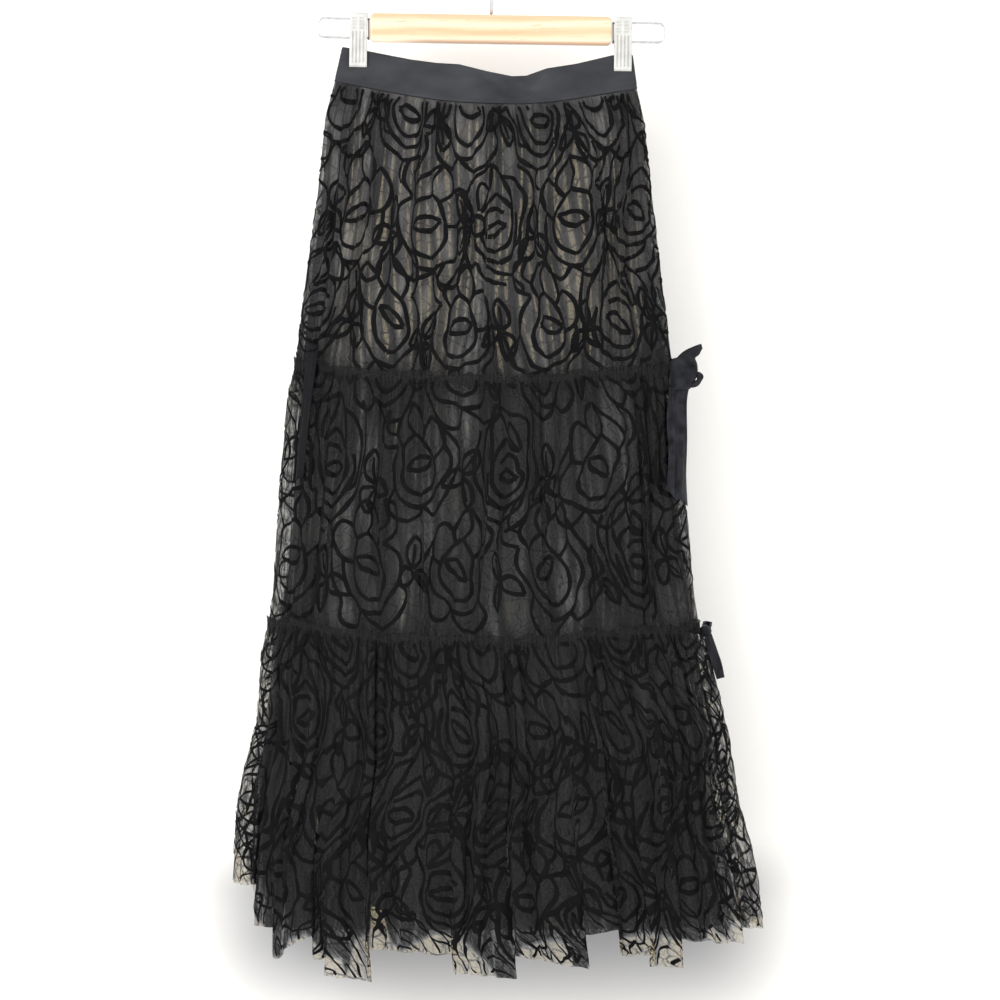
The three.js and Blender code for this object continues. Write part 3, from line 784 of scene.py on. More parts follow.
@dataclass(frozen=True)
class TulleFinish:
    """Fine black net, crossed by a crackle of thin threads; darker where more of it is gathered.

    Where a single layer lies, its colour is painted beige: painted light, standing in for the warm light that shows
    through one layer, as at the photograph's hem.
    """

    name: str
    clear: float = 0.74
    haze: float = 0.2
    tint: Color = (0.0085, 0.0085, 0.0085)
    pale: Color = (0.022, 0.022, 0.0228)
    # The beige painted where a single layer lies: painted light, for the light seen through one layer.
    single: Color = (0.38, 0.325, 0.21)

    def make(self) -> bpy.types.Material:
        """Builds the net.

        What one layer lets through is raised to the power of the crowding, which the mesh
        carries and streaks down the cloth vary. Threads lie at the borders of two sizes of cells.
        Towards the waist the net looks paler, as in the photograph.
        """
        bench = Bench(self.name, Roughness=0.85, Specular_IOR_Level=0.03)
        cloth = bench.cloth()
        bent = bench.shifted(cloth, 60, 0.006)
        threads = bench.webs(bent, 62).rise(0.02, 0.08, 1, 0)
        hairs = bench.webs(bent, 150).rise(0.03, 0.12, 1, 0)
        streaks = bench.noise(bench.cloth((330, 9, 1)), 1.0, 3, True)
        carried = bench.carried("crowding")
        single = carried.rise(0.85, 1.25, 1, 0)
        crowding = carried * (streaks * 2.1 - 0.05)
        cover = 1 - bench.constant(self.clear) ** crowding
        cover = cover + threads * 0.18 + hairs * 0.1 + single * self.haze
        bench.alpha(cover.at_most(0.97).at_least(0.04))
        dark, pale = (
            bench.ramp(streaks, [(0.35, tint), (0.7, tuple(2.1 * part for part in tint))])
            for tint in (self.tint, self.pale)
        )
        tone = bench.mixed(bench.part(bench.place(), "Z").rise(-0.44, -0.33, 0.12, 0.7), dark, pale)
        lines = (threads + hairs * 0.6).at_most(1)
        # Painted light: where a single layer lies, away from the threads, the net's colour is the beige single colour.
        bench.color(bench.mixed(single * (1 - lines), tone, self.single))
        return bench.material


@dataclass(frozen=True)
class FlockFinish:
    """Black velvety flock: matt, with a short uneven pile."""

    name: str = "flock_velvet"

    def make(self) -> bpy.types.Material:
        """Builds the pile from fine noise in colour and height."""
        bench = Bench(self.name, Roughness=1.0, Specular_IOR_Level=0.03)
        place = bench.place()
        pile = bench.noise(place, 1400, 2)
        worn = bench.noise(place, 70, 3)
        bench.color(bench.ramp(worn * 0.6 + pile * 0.4, [(0.3, (0.0045, 0.0045, 0.005)), (0.7, (0.009, 0.009, 0.0095))]))
        bench.relief(pile, 0.2, 0.6)
        return bench.material


@dataclass(frozen=True)
class LiningFinish:
    """Taupe satin with painted sheen and shade in streaks down its folds, and fine cross threads."""

    name: str = "lining_satin"

    def make(self) -> bpy.types.Material:
        """Builds streaks of painted sheen and shade from noise drawn out downwards, and threads from sines."""
        bench = Bench(self.name, Specular_IOR_Level=0.25)
        streaks = bench.noise(bench.place((60, 60, 5)), 1.0, 3)
        warm = bench.noise(bench.place((24, 24, 9)), 1.0, 2)
        # Painted sheen and shade: the light and dark streaks and the warm patches mixed into the colour stand in for
        # light caught on the satin's folds.
        stops = [(0.32, (0.065, 0.063, 0.064)), (0.5, (0.16, 0.156, 0.155)), (0.7, (0.41, 0.4, 0.39))]
        painted_sheen_tone = bench.ramp(streaks, stops)
        bench.color(bench.mixed(warm.rise(0.5, 0.72, 0, 0.6), painted_sheen_tone, (0.27, 0.255, 0.215)))
        bench.rough(streaks.rise(0.3, 0.7, 0.6, 0.42))
        threads = (bench.part(bench.place(), "Z") * 9000).wave() * 0.5 + 0.5
        bench.relief(threads * 0.4 + streaks * 0.6, 0.3, 0.4)
        return bench.material


@dataclass(frozen=True)
class BandFinish:
    """Charcoal dull satin with a fine twill, a little lighter in clouds."""

    name: str = "band_satin"

    def make(self) -> bpy.types.Material:
        """Builds clouds of tone and the slanted threads of the twill."""
        bench = Bench(self.name, Specular_IOR_Level=0.2, Sheen_Weight=0.05, Sheen_Roughness=0.45)
        place = bench.place()
        cloud = bench.noise(bench.place((1, 1, 2.4)), 26, 4)
        bench.color(bench.ramp(cloud, [(0.3, (0.021, 0.022, 0.025)), (0.72, (0.038, 0.039, 0.044))]))
        bench.rough(cloud.rise(0.3, 0.7, 0.62, 0.5))
        twill = ((bench.part(place, "X") + bench.part(place, "Z")) * 5200).wave() * 0.5 + 0.5
        bench.relief(twill * 0.5 + bench.noise(place, 420, 2) * 0.5, 0.16, 0.5)
        return bench.material


@dataclass(frozen=True)
class RibbonFinish:
    """Charcoal satin ribbon with fine cross ribs, with painted shade that makes it blacker at the left than at the
    right.
    """

    name: str = "ribbon_satin"

    def make(self) -> bpy.types.Material:
        """Builds ribs across the ribbon from its own length, clouds of tone, and painted shade towards the left."""
        bench = Bench(self.name, Specular_IOR_Level=0.08)
        cloth = bench.cloth()
        ribs = (bench.part(cloth, "Y") * (TURN / 0.0011)).wave() * 0.5 + 0.5
        cloud = bench.noise(bench.place(), 85, 4)
        tone = bench.ramp(cloud, [(0.34, (0.006, 0.0062, 0.0075)), (0.66, (0.023, 0.0235, 0.0285))])
        # Painted shade: the tone darkens towards the left, where the tie lies in shade, and is fully lit only at the
        # right.
        painted_light_share = bench.part(bench.place(), "X").rise(-0.15, 0.15, 0.1, 1)
        bench.color(bench.mixed(painted_light_share, (0.005, 0.0052, 0.006), tone))
        bench.rough(cloud.rise(0.3, 0.7, 0.58, 0.42))
        bench.relief(ribs * 0.7 + cloud * 0.3, 0.2, 0.6)
        return bench.material


@dataclass(frozen=True)
class WoodFinish:
    """Pale lacquered wood with long grain and a few darker pores, and painted shade along its underside."""

    name: str = "pale_wood"
    # Heights, in metres, over which the painted shade along the underside fades out.
    underside: tuple[float, float] = (-0.1092, -0.1055)

    def make(self) -> bpy.types.Material:
        """Builds growth rings from bent bands and pores from noise drawn out along the bar."""
        bench = Bench(self.name, Specular_IOR_Level=0.45, Coat_Weight=0.35, Coat_Roughness=0.18)
        along = bench.place((3, 40, 40))
        bent = bench.shifted(along, 1.3, 0.55)
        rings = (bench.part(bent, "Z") * 9 + bench.part(bent, "Y") * 5).wave() * 0.5 + 0.5
        fibres = bench.noise(bench.place((14, 420, 420)), 1.0, 4)
        pores = bench.noise(bench.place((60, 900, 900)), 1.0, 2).rise(0.62, 0.74)
        stops = [(0.2, (0.7, 0.43, 0.25)), (0.55, (0.83, 0.57, 0.38)), (0.85, (0.88, 0.67, 0.5))]
        tone = bench.mixed(pores * 0.5, bench.ramp(rings * 0.55 + fibres * 0.45, stops), (0.5, 0.3, 0.14))
        place = bench.place()
        # Painted shade: a darker band along the bar's underside, tilted with the bar and left off at its left end.
        level = bench.part(place, "Z") + bench.part(place, "X") * math.tan(HANGER_TILT)
        under = level.rise(*self.underside, 1, 0) * bench.part(place, "X").rise(-0.11, -0.06)
        bench.color(bench.mixed(under * 0.8, tone, (0.34, 0.2, 0.11)))
        bench.rough(fibres.rise(0.3, 0.7, 0.34, 0.48))
        bench.relief(fibres * 0.7 - pores * 0.5, 0.12, 0.35)
        return bench.material


@dataclass(frozen=True)
class MetalFinish:
    """Drawn wire or spring steel: fine lines along it and a few dull spots."""

    name: str
    tone: Color
    rough: float

    def make(self) -> bpy.types.Material:
        """Builds drawing lines from stretched noise and dull spots from a cloud."""
        bench = Bench(self.name, Metallic=1.0)
        lines = bench.noise(bench.place((60, 1500, 60)), 1.0, 3)
        spots = bench.noise(bench.place(), 180, 3)
        duller = tuple(0.72 * part for part in self.tone)
        bench.color(bench.mixed(spots.rise(0.45, 0.75), self.tone, duller))
        bench.rough(lines.rise(0.3, 0.7, self.rough, self.rough + 0.16))
        bench.relief(lines, 0.04, 0.3)
        return bench.material


@dataclass(frozen=True)
class ClipFinish:
    """Off-white moulded clip with a faint mould texture and clouds of tone."""

    name: str = "clip_white"

    def make(self) -> bpy.types.Material:
        """Builds the mould texture and a warm dirt cloud."""
        bench = Bench(self.name, Specular_IOR_Level=0.5, Coat_Weight=0.2, Coat_Roughness=0.25)
        place = bench.place()
        cloud = bench.noise(place, 110, 4)
        bench.color(bench.ramp(cloud, [(0.3, (0.5, 0.495, 0.47)), (0.65, (0.62, 0.615, 0.585))]))
        bench.rough(cloud.rise(0.3, 0.7, 0.46, 0.3))
        bench.relief(bench.noise(place, 1300, 2), 0.06, 0.4)
        return bench.material


@dataclass(frozen=True)
class StageFinish:
    """A plain pale surface that is clear from behind, and shaded round the hem if it is the wall."""

    name: str
    tone: Color
    glow: float
    shaded: Optional[Color] = None

    def make(self) -> bpy.types.Material:
        """Builds the surface: its back faces are see-through, so it never hides the skirt's back."""
        values = {"Emission_Color": self.tone, "Emission_Strength": self.glow}
        bench = Bench(self.name, Base_Color=self.tone, Roughness=0.95, Specular_IOR_Level=0.0, **values)
        if self.shaded is not None:
            across, level = (bench.part(bench.place(), axis) for axis in "XZ")
            beside = (across * across).rise(0.036, 0.12, 1, 0)
            shade = beside * level.rise(-1.16, -1.0) * level.rise(-0.97, -0.9, 1, 0)
            shaded = bench.mixed(shade, self.tone, self.shaded)
            bench.color(shaded)
            bench.feed(bench.shader.inputs["Emission Color"], shaded)
        behind = bench.node("ShaderNodeNewGeometry", {}, {}).outputs["Backfacing"]
        bench.alpha(1 - Number(bench, behind))
        return bench.material


@dataclass
class Wardrobe:
    """All the finishes, made once."""

    tulle: bpy.types.Material = field(default_factory=lambda: TulleFinish("black_tulle").make())
    flock: bpy.types.Material = field(default_factory=lambda: FlockFinish().make())
    lining: bpy.types.Material = field(default_factory=lambda: LiningFinish().make())
    band: bpy.types.Material = field(default_factory=lambda: BandFinish().make())
    ribbon: bpy.types.Material = field(default_factory=lambda: RibbonFinish().make())
    wood: bpy.types.Material = field(default_factory=lambda: WoodFinish().make())
    wire: bpy.types.Material = field(default_factory=lambda: MetalFinish("hook_wire", (0.62, 0.62, 0.63), 0.24).make())
    spring: bpy.types.Material = field(default_factory=lambda: MetalFinish("spring_steel", (0.13, 0.12, 0.11), 0.35).make())
    clip: bpy.types.Material = field(default_factory=lambda: ClipFinish().make())


class Stroke(NamedTuple):
    """One drawn line of the flock: its points on the cloth and its width at each, in millimetres."""

    points: Array
    widths: Array


class Line(NamedTuple):
    """One hand-drawn line of the print: its corners, and whether it is a bold or a thin one."""

    corners: tuple[tuple[float, float], ...]
    weight: float = 1.0


ROSE_LINES = (
    Line(((-0.44, -0.06), (-0.1, -0.2), (0.26, -0.1), (0.54, 0.12))),
    Line(((-0.44, -0.06), (-0.16, 0.12), (0.2, 0.2), (0.54, 0.12)), 1.15),
    Line(((-0.36, -0.44), (0.06, -0.62), (0.5, -0.5), (0.6, -0.1))),
    Line(((-0.6, -0.5), (-0.66, 0.06), (-0.46, 0.5), (0.0, 0.68))),
    Line(((0.0, 0.68), (0.46, 0.5), (0.7, 0.1), (0.6, -0.1))),
    Line(((-0.62, -0.48), (-0.38, -0.86), (-0.02, -1.1))),
    Line(((-0.02, -1.1), (0.3, -0.84), (0.66, -0.66))),
    Line(((-0.86, -0.34), (-0.9, 0.22), (-0.62, 0.78), (-0.1, 1.02)), 1.1),
    Line(((-0.1, 1.02), (0.5, 0.78), (0.92, 0.2), (0.9, -0.5))),
    Line(((-0.62, -0.48), (-0.6, -1.1), (-0.46, -1.62), (-0.1, -2.05))),
    Line(((-0.1, -2.05), (0.34, -1.82), (0.86, -1.66))),
    Line(((0.86, -1.66), (1.16, -1.3), (1.04, -0.8), (0.9, -0.5))),
    Line(((-0.1, -2.0), (0.02, -1.56), (0.16, -1.24), (0.66, -0.66)), 0.9),
    Line(((0.16, -1.24), (0.4, -1.5), (0.62, -1.2), (0.72, -0.7)), 0.9),
    Line(((-0.46, -1.62), (-0.94, -1.34), (-1.2, -0.66), (-1.06, 0.08))),
    Line(((-1.3, 0.1), (-1.18, 0.66), (-0.78, 1.14), (-0.3, 1.42))),
    Line(((-1.06, 0.08), (-1.0, 0.5), (-0.74, 0.66)), 0.9),
    Line(((1.34, -0.6), (1.42, 0.0), (1.3, 0.62), (0.96, 0.7))),
    Line(((0.96, 0.7), (0.9, 1.12), (0.5, 1.5), (0.06, 1.7))),
    Line(((-0.3, 1.42), (0.1, 1.3), (0.5, 1.02), (0.72, 0.62)), 0.9),
    Line(((-1.3, 0.1), (-1.5, -0.5), (-1.46, -1.2), (-1.2, -1.7)), 0.9),
    Line(((1.34, -0.6), (1.52, -1.1), (1.4, -1.7)), 0.9),
    Line(((-0.3, 1.42), (-0.5, 1.8), (-0.36, 2.1)), 0.9),
)
CUPPED_LINES = (
    Line(((-0.5, 0.1), (-0.3, -0.22), (0.06, -0.34), (0.44, -0.3))),
    Line(((-0.5, 0.1), (-0.14, 0.12), (0.26, -0.02), (0.44, -0.3)), 1.1),
    Line(((-0.62, -0.1), (-0.64, 0.36), (-0.34, 0.74), (0.08, 0.86))),
    Line(((0.08, 0.86), (0.44, 0.6), (0.62, 0.16), (0.56, -0.3))),
    Line(((-0.62, -0.1), (-0.56, -0.62), (-0.12, -1.04))),
    Line(((-0.12, -1.04), (0.22, -0.82), (0.56, -0.3))),
    Line(((-0.56, -0.62), (-0.86, -1.06), (-0.62, -1.6), (-0.16, -2.0))),
    Line(((-0.16, -2.0), (0.26, -1.62), (0.4, -1.2), (0.22, -0.82))),
    Line(((-0.16, -1.92), (-0.3, -1.46), (-0.12, -1.04)), 0.8),
    Line(((0.4, -1.2), (0.8, -1.46), (1.12, -1.1), (1.06, -0.5), (0.62, -0.2))),
    Line(((-0.9, -0.7), (-1.16, -0.16), (-1.04, 0.5), (-0.58, 0.98))),
    Line(((-0.58, 0.98), (-0.2, 1.2), (0.3, 1.16), (0.62, 0.86))),
    Line(((0.62, 0.86), (1.04, 0.5), (1.18, 0.02), (1.06, -0.5))),
    Line(((-1.04, 0.5), (-1.3, 0.98), (-0.92, 1.5), (-0.3, 1.66))),
    Line(((-0.3, 1.66), (0.02, 1.44), (0.3, 1.16)), 0.9),
    Line(((0.3, 1.16), (0.72, 1.5), (1.2, 1.2), (1.3, 0.6))),
    Line(((1.3, 0.6), (1.5, 0.0), (1.36, -0.6), (1.12, -1.1)), 0.9),
    Line(((-0.9, -0.7), (-1.34, -0.9), (-1.5, -1.5), (-1.1, -1.9))),
    Line(((-0.86, -1.06), (-1.16, -1.3), (-1.1, -1.9)), 0.8),
)
LEAF_LINES = (
    Line(((0.0, 0.1), (-0.4, -0.24), (-0.46, -0.78), (-0.16, -1.2))),
    Line(((-0.16, -1.2), (0.14, -0.74), (0.18, -0.24), (0.0, 0.1))),
    Line(((0.0, 0.06), (-0.12, -0.42), (-0.16, -0.88)), 0.7),
    Line(((0.06, 0.14), (0.5, 0.04), (0.84, 0.34), (0.96, 0.86))),
    Line(((0.96, 0.86), (0.54, 0.8), (0.16, 0.54), (0.06, 0.14))),
    Line(((-0.06, 0.2), (-0.52, 0.3), (-0.74, 0.74), (-0.6, 1.26))),
    Line(((-0.6, 1.26), (-0.2, 0.9), (-0.02, 0.52), (-0.06, 0.2))),
    Line(((-0.1, 0.36), (-0.34, 0.7), (-0.5, 1.0)), 0.7),
)


@dataclass(frozen=True)
class RoseDrawing:
    """The print's rose: an eye in nested cups under pointed petals, drawn in bold flock lines."""

    unit: float = 35.0
    width: float = 4.9
    step: float = 2.1

    def curve(self, line: Line, warp: Callable[[Array], Array]) -> Stroke:
        """Draws one line through its corners.

        Its points are warped and spaced evenly, and it swells a little in its middle.

        Args:
            line: the line in units of the drawing.
            warp: what moves drawn points onto the cloth, in millimetres.

        Returns:
            The stroke.
        """
        points = warp(smooth_line(np.array(line.corners)))
        run = np.concatenate([[0], np.cumsum(np.hypot(*np.diff(points, axis=0).T))])
        even = np.linspace(0, run[-1], max(4, int(run[-1] / self.step)) + 1)
        spaced = np.stack([np.interp(even, run, points[:, 0]), np.interp(even, run, points[:, 1])], axis=1)
        swell = 0.84 + 0.16 * np.sin(math.pi * even / run[-1]) + 0.1 * np.sin(even / 5.1 + run[-1])
        return Stroke(spaced, self.width * line.weight * swell)

    def place(self, lines: Sequence[Line], middle: Array, size: float, rng: np.random.Generator) -> list[Stroke]:
        """Draws a motif on the cloth, a little differently each time.

        It is mirrored or not, turned by up to 0.3 radians, and bent by a slow sine each way.

        Args:
            lines: the motif.
            middle: where it goes, in millimetres of cut cloth.
            size: its size against the common one.
            rng: the seeded source of small differences.

        Returns:
            Its strokes.
        """
        turn = rng.uniform(-0.3, 0.3)
        flip = rng.choice([-1.0, 1.0])
        late = rng.uniform(0, TURN, 2)
        stretch = np.array([rng.uniform(1.04, 1.26), rng.uniform(0.94, 1.06)]) * self.unit * size
        spin = np.array([[math.cos(turn), math.sin(turn)], [-math.sin(turn), math.cos(turn)]])

        def warp(points: Array) -> Array:
            """Bends, mirrors, turns and moves drawn points."""
            bend = 0.1 * np.sin(points[:, ::-1] * np.array([2.1, 2.5]) + late)
            return ((points + bend) * np.array([flip, 1.0]) * stretch) @ spin + middle

        return [self.curve(line, warp) for line in lines]


@dataclass
class Tier:
    """One gathered tier of tulle, all round, with its flock flowers.

    Its surface is its plan at each level, moved by the gathers. A place on the cut cloth is found
    by running along that surface, so the drawing is squeezed where the cloth is gathered.
    """

    name: str
    tube: ClothTube
    gathers: Gathers
    start: float
    end: float
    roses: int
    rows: Sequence[float]
    full: tuple[tuple[float, ...], tuple[float, ...]]
    columns: int
    lines: int
    sides: Sides
    hem_front: Optional[HemLine] = None
    hem_back: Optional[HemLine] = None
    cut: float = 0.0

    def __post_init__(self) -> None:
        """Measures the cut: the mean run of the gathered cloth, tucks counted."""
        around, share = np.meshgrid(np.linspace(0, 1, 4801), np.linspace(0, 1, 25))
        self.around_row = around[0]
        lengths = self.lengths(around, share)
        self.cut = float(lengths[:, -1].mean())
        self.run_rows = lengths / lengths[:, -1:]

    def heights(self, around: Array) -> tuple[Array, Array]:
        """Gives the heights of the tier's upper and lower edge at places round it."""
        top_x, _ = self.tube.section(around, np.full_like(around, self.start))
        end_x, _ = self.tube.section(around, np.full_like(around, self.end))
        if self.start == WAIST_LEVEL:
            top = waist_edge(top_x, "bottom") - SEAM_GAP
        else:
            top = self.start - SEAM_GAP - seam_sag(self.start, top_x)
        if self.hem_front is None:
            return top, self.end - seam_sag(self.end, end_x)
        front = np.mod(around, 1.0) < 0.5
        return top, np.where(front, self.hem_front.at(end_x), self.hem_back.at(end_x))

    def surface(self, around: Array, share: Array, lift: Union[float, Array] = 0.0) -> Array:
        """Gives points of the tulle.

        Args:
            around: how far round.
            share: how far down the drop.
            lift: how far off the tulle, in millimetres.

        Returns:
            Points in millimetres.
        """
        level = self.start + (self.end - self.start) * share
        x, y = self.tube.section(around, level, 0.6)
        out_x, out_y = self.tube.outward(around, level)
        lay = self.gathers.lay(around, share)
        stand, sideways = lay.stand + lift, lay.sideways
        if self.hem_front is not None:
            hem_x, _ = self.tube.section(around, np.full_like(around, self.end))
            raised, drawn = self.hem_front.flutes(hem_x)
            reach = smooth_step(share, 0.25, 1.0) * well_inside(over_panel(around))
            stand = stand + 5.5 * raised * reach
            sideways = sideways + 9.0 * drawn * reach
        top, bottom = self.heights(around)
        z = top + (bottom - top) * share
        return np.stack([x + out_x * stand + sideways + SKIRT_SIDEWAYS, y + out_y * stand, z], axis=-1)

    def lengths(self, around: Array, share: Array) -> Array:
        """Gives the millimetres of cut cloth reached at each place, row by row of a grid."""
        points = self.surface(around, share)
        tucked = self.gathers.lay(around, share).tucked
        gaps = np.linalg.norm(np.diff(points[..., :2], axis=1), axis=-1)
        gaps = gaps * (tucked[:, 1:] + tucked[:, :-1]) / 2
        return np.concatenate([np.zeros((len(points), 1)), np.cumsum(gaps, axis=1)], axis=1)

    def crowding(self, around: Array, share: Array, points: Array) -> Array:
        """Gives how many layers' worth of net lie over each place of a grid.

        It is the length of cloth for each millimetre of plan, times the tier's own fullness. It
        is less beside the lining, and a single layer where the hem is clear.

        Args:
            around: how far round.
            share: how far down the drop.
            points: the surface there.

        Returns:
            Layers, 0.8 to 7.
        """
        level = self.start + (self.end - self.start) * share
        plan = np.stack(self.tube.section(around, level), axis=-1)
        actual = np.linalg.norm(np.gradient(points[..., :2], axis=1), axis=-1)
        even = np.linalg.norm(np.gradient(plan, axis=1), axis=-1) + 1e-6
        edge = self.sides.full(over_panel(around), share)
        fullness = np.interp(share, *self.full)
        clouds = 1 + 0.2 * np.sin(TURN * 9 * around + 5 * share) * np.sin(TURN * 3.5 * around - 7 * share)
        clouds = clouds + 0.12 * np.sin(TURN * 31 * around + 3 * np.sin(8 * share))
        tucked = self.gathers.lay(around, share).tucked
        crowd = np.clip(actual / even * tucked * edge * fullness * clouds, 1.0, 7)
        if self.hem_front is None:
            return crowd
        across, down = np.array(HEM_CLEAR_PX).T
        clear = np.interp(points[..., 0], across - ORIGIN_PX[0], ORIGIN_PX[1] - down)
        clear = np.where(np.mod(around, 1.0) < 0.5, clear, self.heights(around)[1] + 14)
        below = smooth_step(clear - points[..., 2], -2, 5)
        return crowd * (1 - below) + (0.8 + 1.6 * smooth_step(tucked, 2.7, 4.4)) * below

    def net(self, finish: bpy.types.Material) -> bpy.types.Object:
        """Makes the tier's net all round.

        Args:
            finish: the net's material.

        Returns:
            The piece.
        """
        around, share = np.meshgrid(np.linspace(0, 1, self.columns + 1), self._drop_shares())
        points = self.surface(around, share)
        lengths = self.lengths(around, share)
        reach = lengths / lengths[:, -1:] * self.cut * METRE
        top, bottom = self.heights(around)
        place = np.stack([reach, share * (top - bottom) * METRE], axis=-1)
        faces = Meshwork.faces(self.lines + 1, self.columns, wrap=True)
        uv = place.reshape(-1, 2)[Meshwork.faces(self.lines + 1, self.columns + 1)]
        piece = Meshwork.piece(f"{self.name}_net", points[:, :-1], faces, finish, "tulle", uv)
        layer = piece.data.attributes.new("crowding", "FLOAT", "POINT")
        layer.data.foreach_set("value", self.crowding(around, share, points)[:, :-1].astype(np.float32).ravel())
        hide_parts(f"{self.name}_front", f"{self.name}_back")
        return piece

    def _drop_shares(self) -> Array:
        """Spaces the rows of the net closer at its two seams, by a cosine in part."""
        even = np.linspace(0, 1, self.lines + 1)
        return 0.55 * even + 0.45 * (0.5 - 0.5 * np.cos(math.pi * even))

    def cloth_to_around(self, reach: Array, share: Array) -> Array:
        """Finds how far round a place on the cut cloth lies.

        Args:
            reach: the share of the cut width, 0 to 1.
            share: the share of the drop.

        Returns:
            How far round, mixed from the two nearest of the rows whose run was measured.
        """
        rows = len(self.run_rows)
        at_row = np.clip(share, 0, 1) * (rows - 1)
        below = np.minimum(at_row.astype(int), rows - 2)
        weight = at_row - below
        found = np.zeros_like(reach)
        for row, run in enumerate(self.run_rows):
            near = np.where(below == row, 1 - weight, np.where(below + 1 == row, weight, 0))
            picked = near > 0
            found[picked] += near[picked] * np.interp(reach[picked], run, self.around_row)
        return found

    def strokes(self, rng: np.random.Generator) -> list[Stroke]:
        """Draws the roses and fillers on the cut cloth, in staggered rows."""
        pitch = self.cut / self.roses
        drawn = []
        for line, down in enumerate(self.rows):
            for index in range(self.roses):
                middle = np.array([(index + 0.5 * (line % 2) + 0.25) * pitch, down]) + rng.uniform(-6, 6, 2)
                size = rng.uniform(0.92, 1.06)
                rose = CUPPED_LINES if rng.uniform() < 0.45 else ROSE_LINES
                drawn += ROSE.place(rose, middle, size, rng)
                beside = middle + np.array([0.5 * pitch, rng.uniform(-14, 14)])
                drawn += ROSE.place(LEAF_LINES, beside, 0.72 * size, rng)
        return drawn

    def flock(self, finish: bpy.types.Material, rng: np.random.Generator) -> list[bpy.types.Object]:
        """Makes the tier's flock lines as low rounded ribbons lying on the net.

        Each stroke is carried at three places across its width: its two edges just off the net
        and its crown a little higher. Faces that leave the tier are dropped.

        Args:
            finish: the flock's material.
            rng: the seeded source of small differences.

        Returns:
            The front's piece and the back's.
        """
        strokes = self.strokes(rng)
        ends = np.cumsum([len(stroke.points) for stroke in strokes]) - 1
        middle = np.concatenate([stroke.points for stroke in strokes])
        width = np.concatenate([stroke.widths for stroke in strokes])
        run = np.concatenate([np.gradient(stroke.points, axis=0) for stroke in strokes])
        run /= np.hypot(run[:, 0], run[:, 1])[:, None] + 1e-9
        side = np.stack([-run[:, 1], run[:, 0]], axis=1)
        top, bottom = self.heights(self.cloth_to_around(np.mod(middle[:, 0] / self.cut, 1.0), middle[:, 1] / 290))
        drop = top - bottom
        over = over_panel(self.cloth_to_around(np.mod(middle[:, 0] / self.cut, 1.0), middle[:, 1] / drop))
        left, right = self.sides.near(over)
        width = width * (1 - 0.4 * left - 0.25 * right)
        if self.hem_front is not None:
            width = width * (1 - 0.45 * smooth_step(middle[:, 1] / drop, 0.86, 0.97))
        places = middle[:, None, :] + side[:, None, :] * (width[:, None] * np.array([-0.5, 0, 0.5]))[..., None]
        reach = np.mod(places[..., 0] / self.cut, 1.0)
        share = places[..., 1] / drop[:, None]
        around = self.cloth_to_around(reach, share)
        points = self.surface(around, np.clip(share, 0, 1), np.array([0.25, 0.75, 0.25]))
        last = np.zeros(len(middle), dtype=bool)
        last[ends] = True
        here = np.flatnonzero(~last)
        inside = (share.min(1) > 0.004) & (share.max(1) < 0.997) & (np.ptp(around, axis=1) < 0.1)
        step = np.abs(around[here + 1, 1] - around[here, 1])
        kept = here[inside[here] & inside[here + 1] & (step < 0.1)]
        index = 3 * kept[:, None]
        faces = np.stack([index + np.array([0, 1, 4, 3]), index + np.array([1, 2, 5, 4])], axis=1).reshape(-1, 4)
        in_front = np.repeat(around[kept, 1] < 0.5, 2)
        made = []
        for label, chosen in (("front", in_front), ("back", ~in_front)):
            used, packed = np.unique(faces[chosen], return_inverse=True)
            corners = points.reshape(-1, 3)[used]
            piece = Meshwork.piece(f"{self.name}_flock_{label}", corners, packed.reshape(-1, 4), finish, "tulle")
            made.append(piece)
        return made

    def build(self, wardrobe: Wardrobe, rng: np.random.Generator) -> None:
        """Args:
            wardrobe: the finishes.
            rng: the seeded source of small differences.
        """
        net = self.net(wardrobe.tulle)
        flock = self.flock(wardrobe.flock, rng)
        top, bottom = self.heights(np.linspace(0, 1, 400))
        flat = (self.cut * METRE, float(np.mean(top - bottom)) * METRE)
        faces = sum(len(piece.data.polygons) for piece in (net, *flock))
        log.info("%s: cut %.3f m round and %.3f m long, %d faces", self.name, *flat, faces)


ROSE = RoseDrawing()


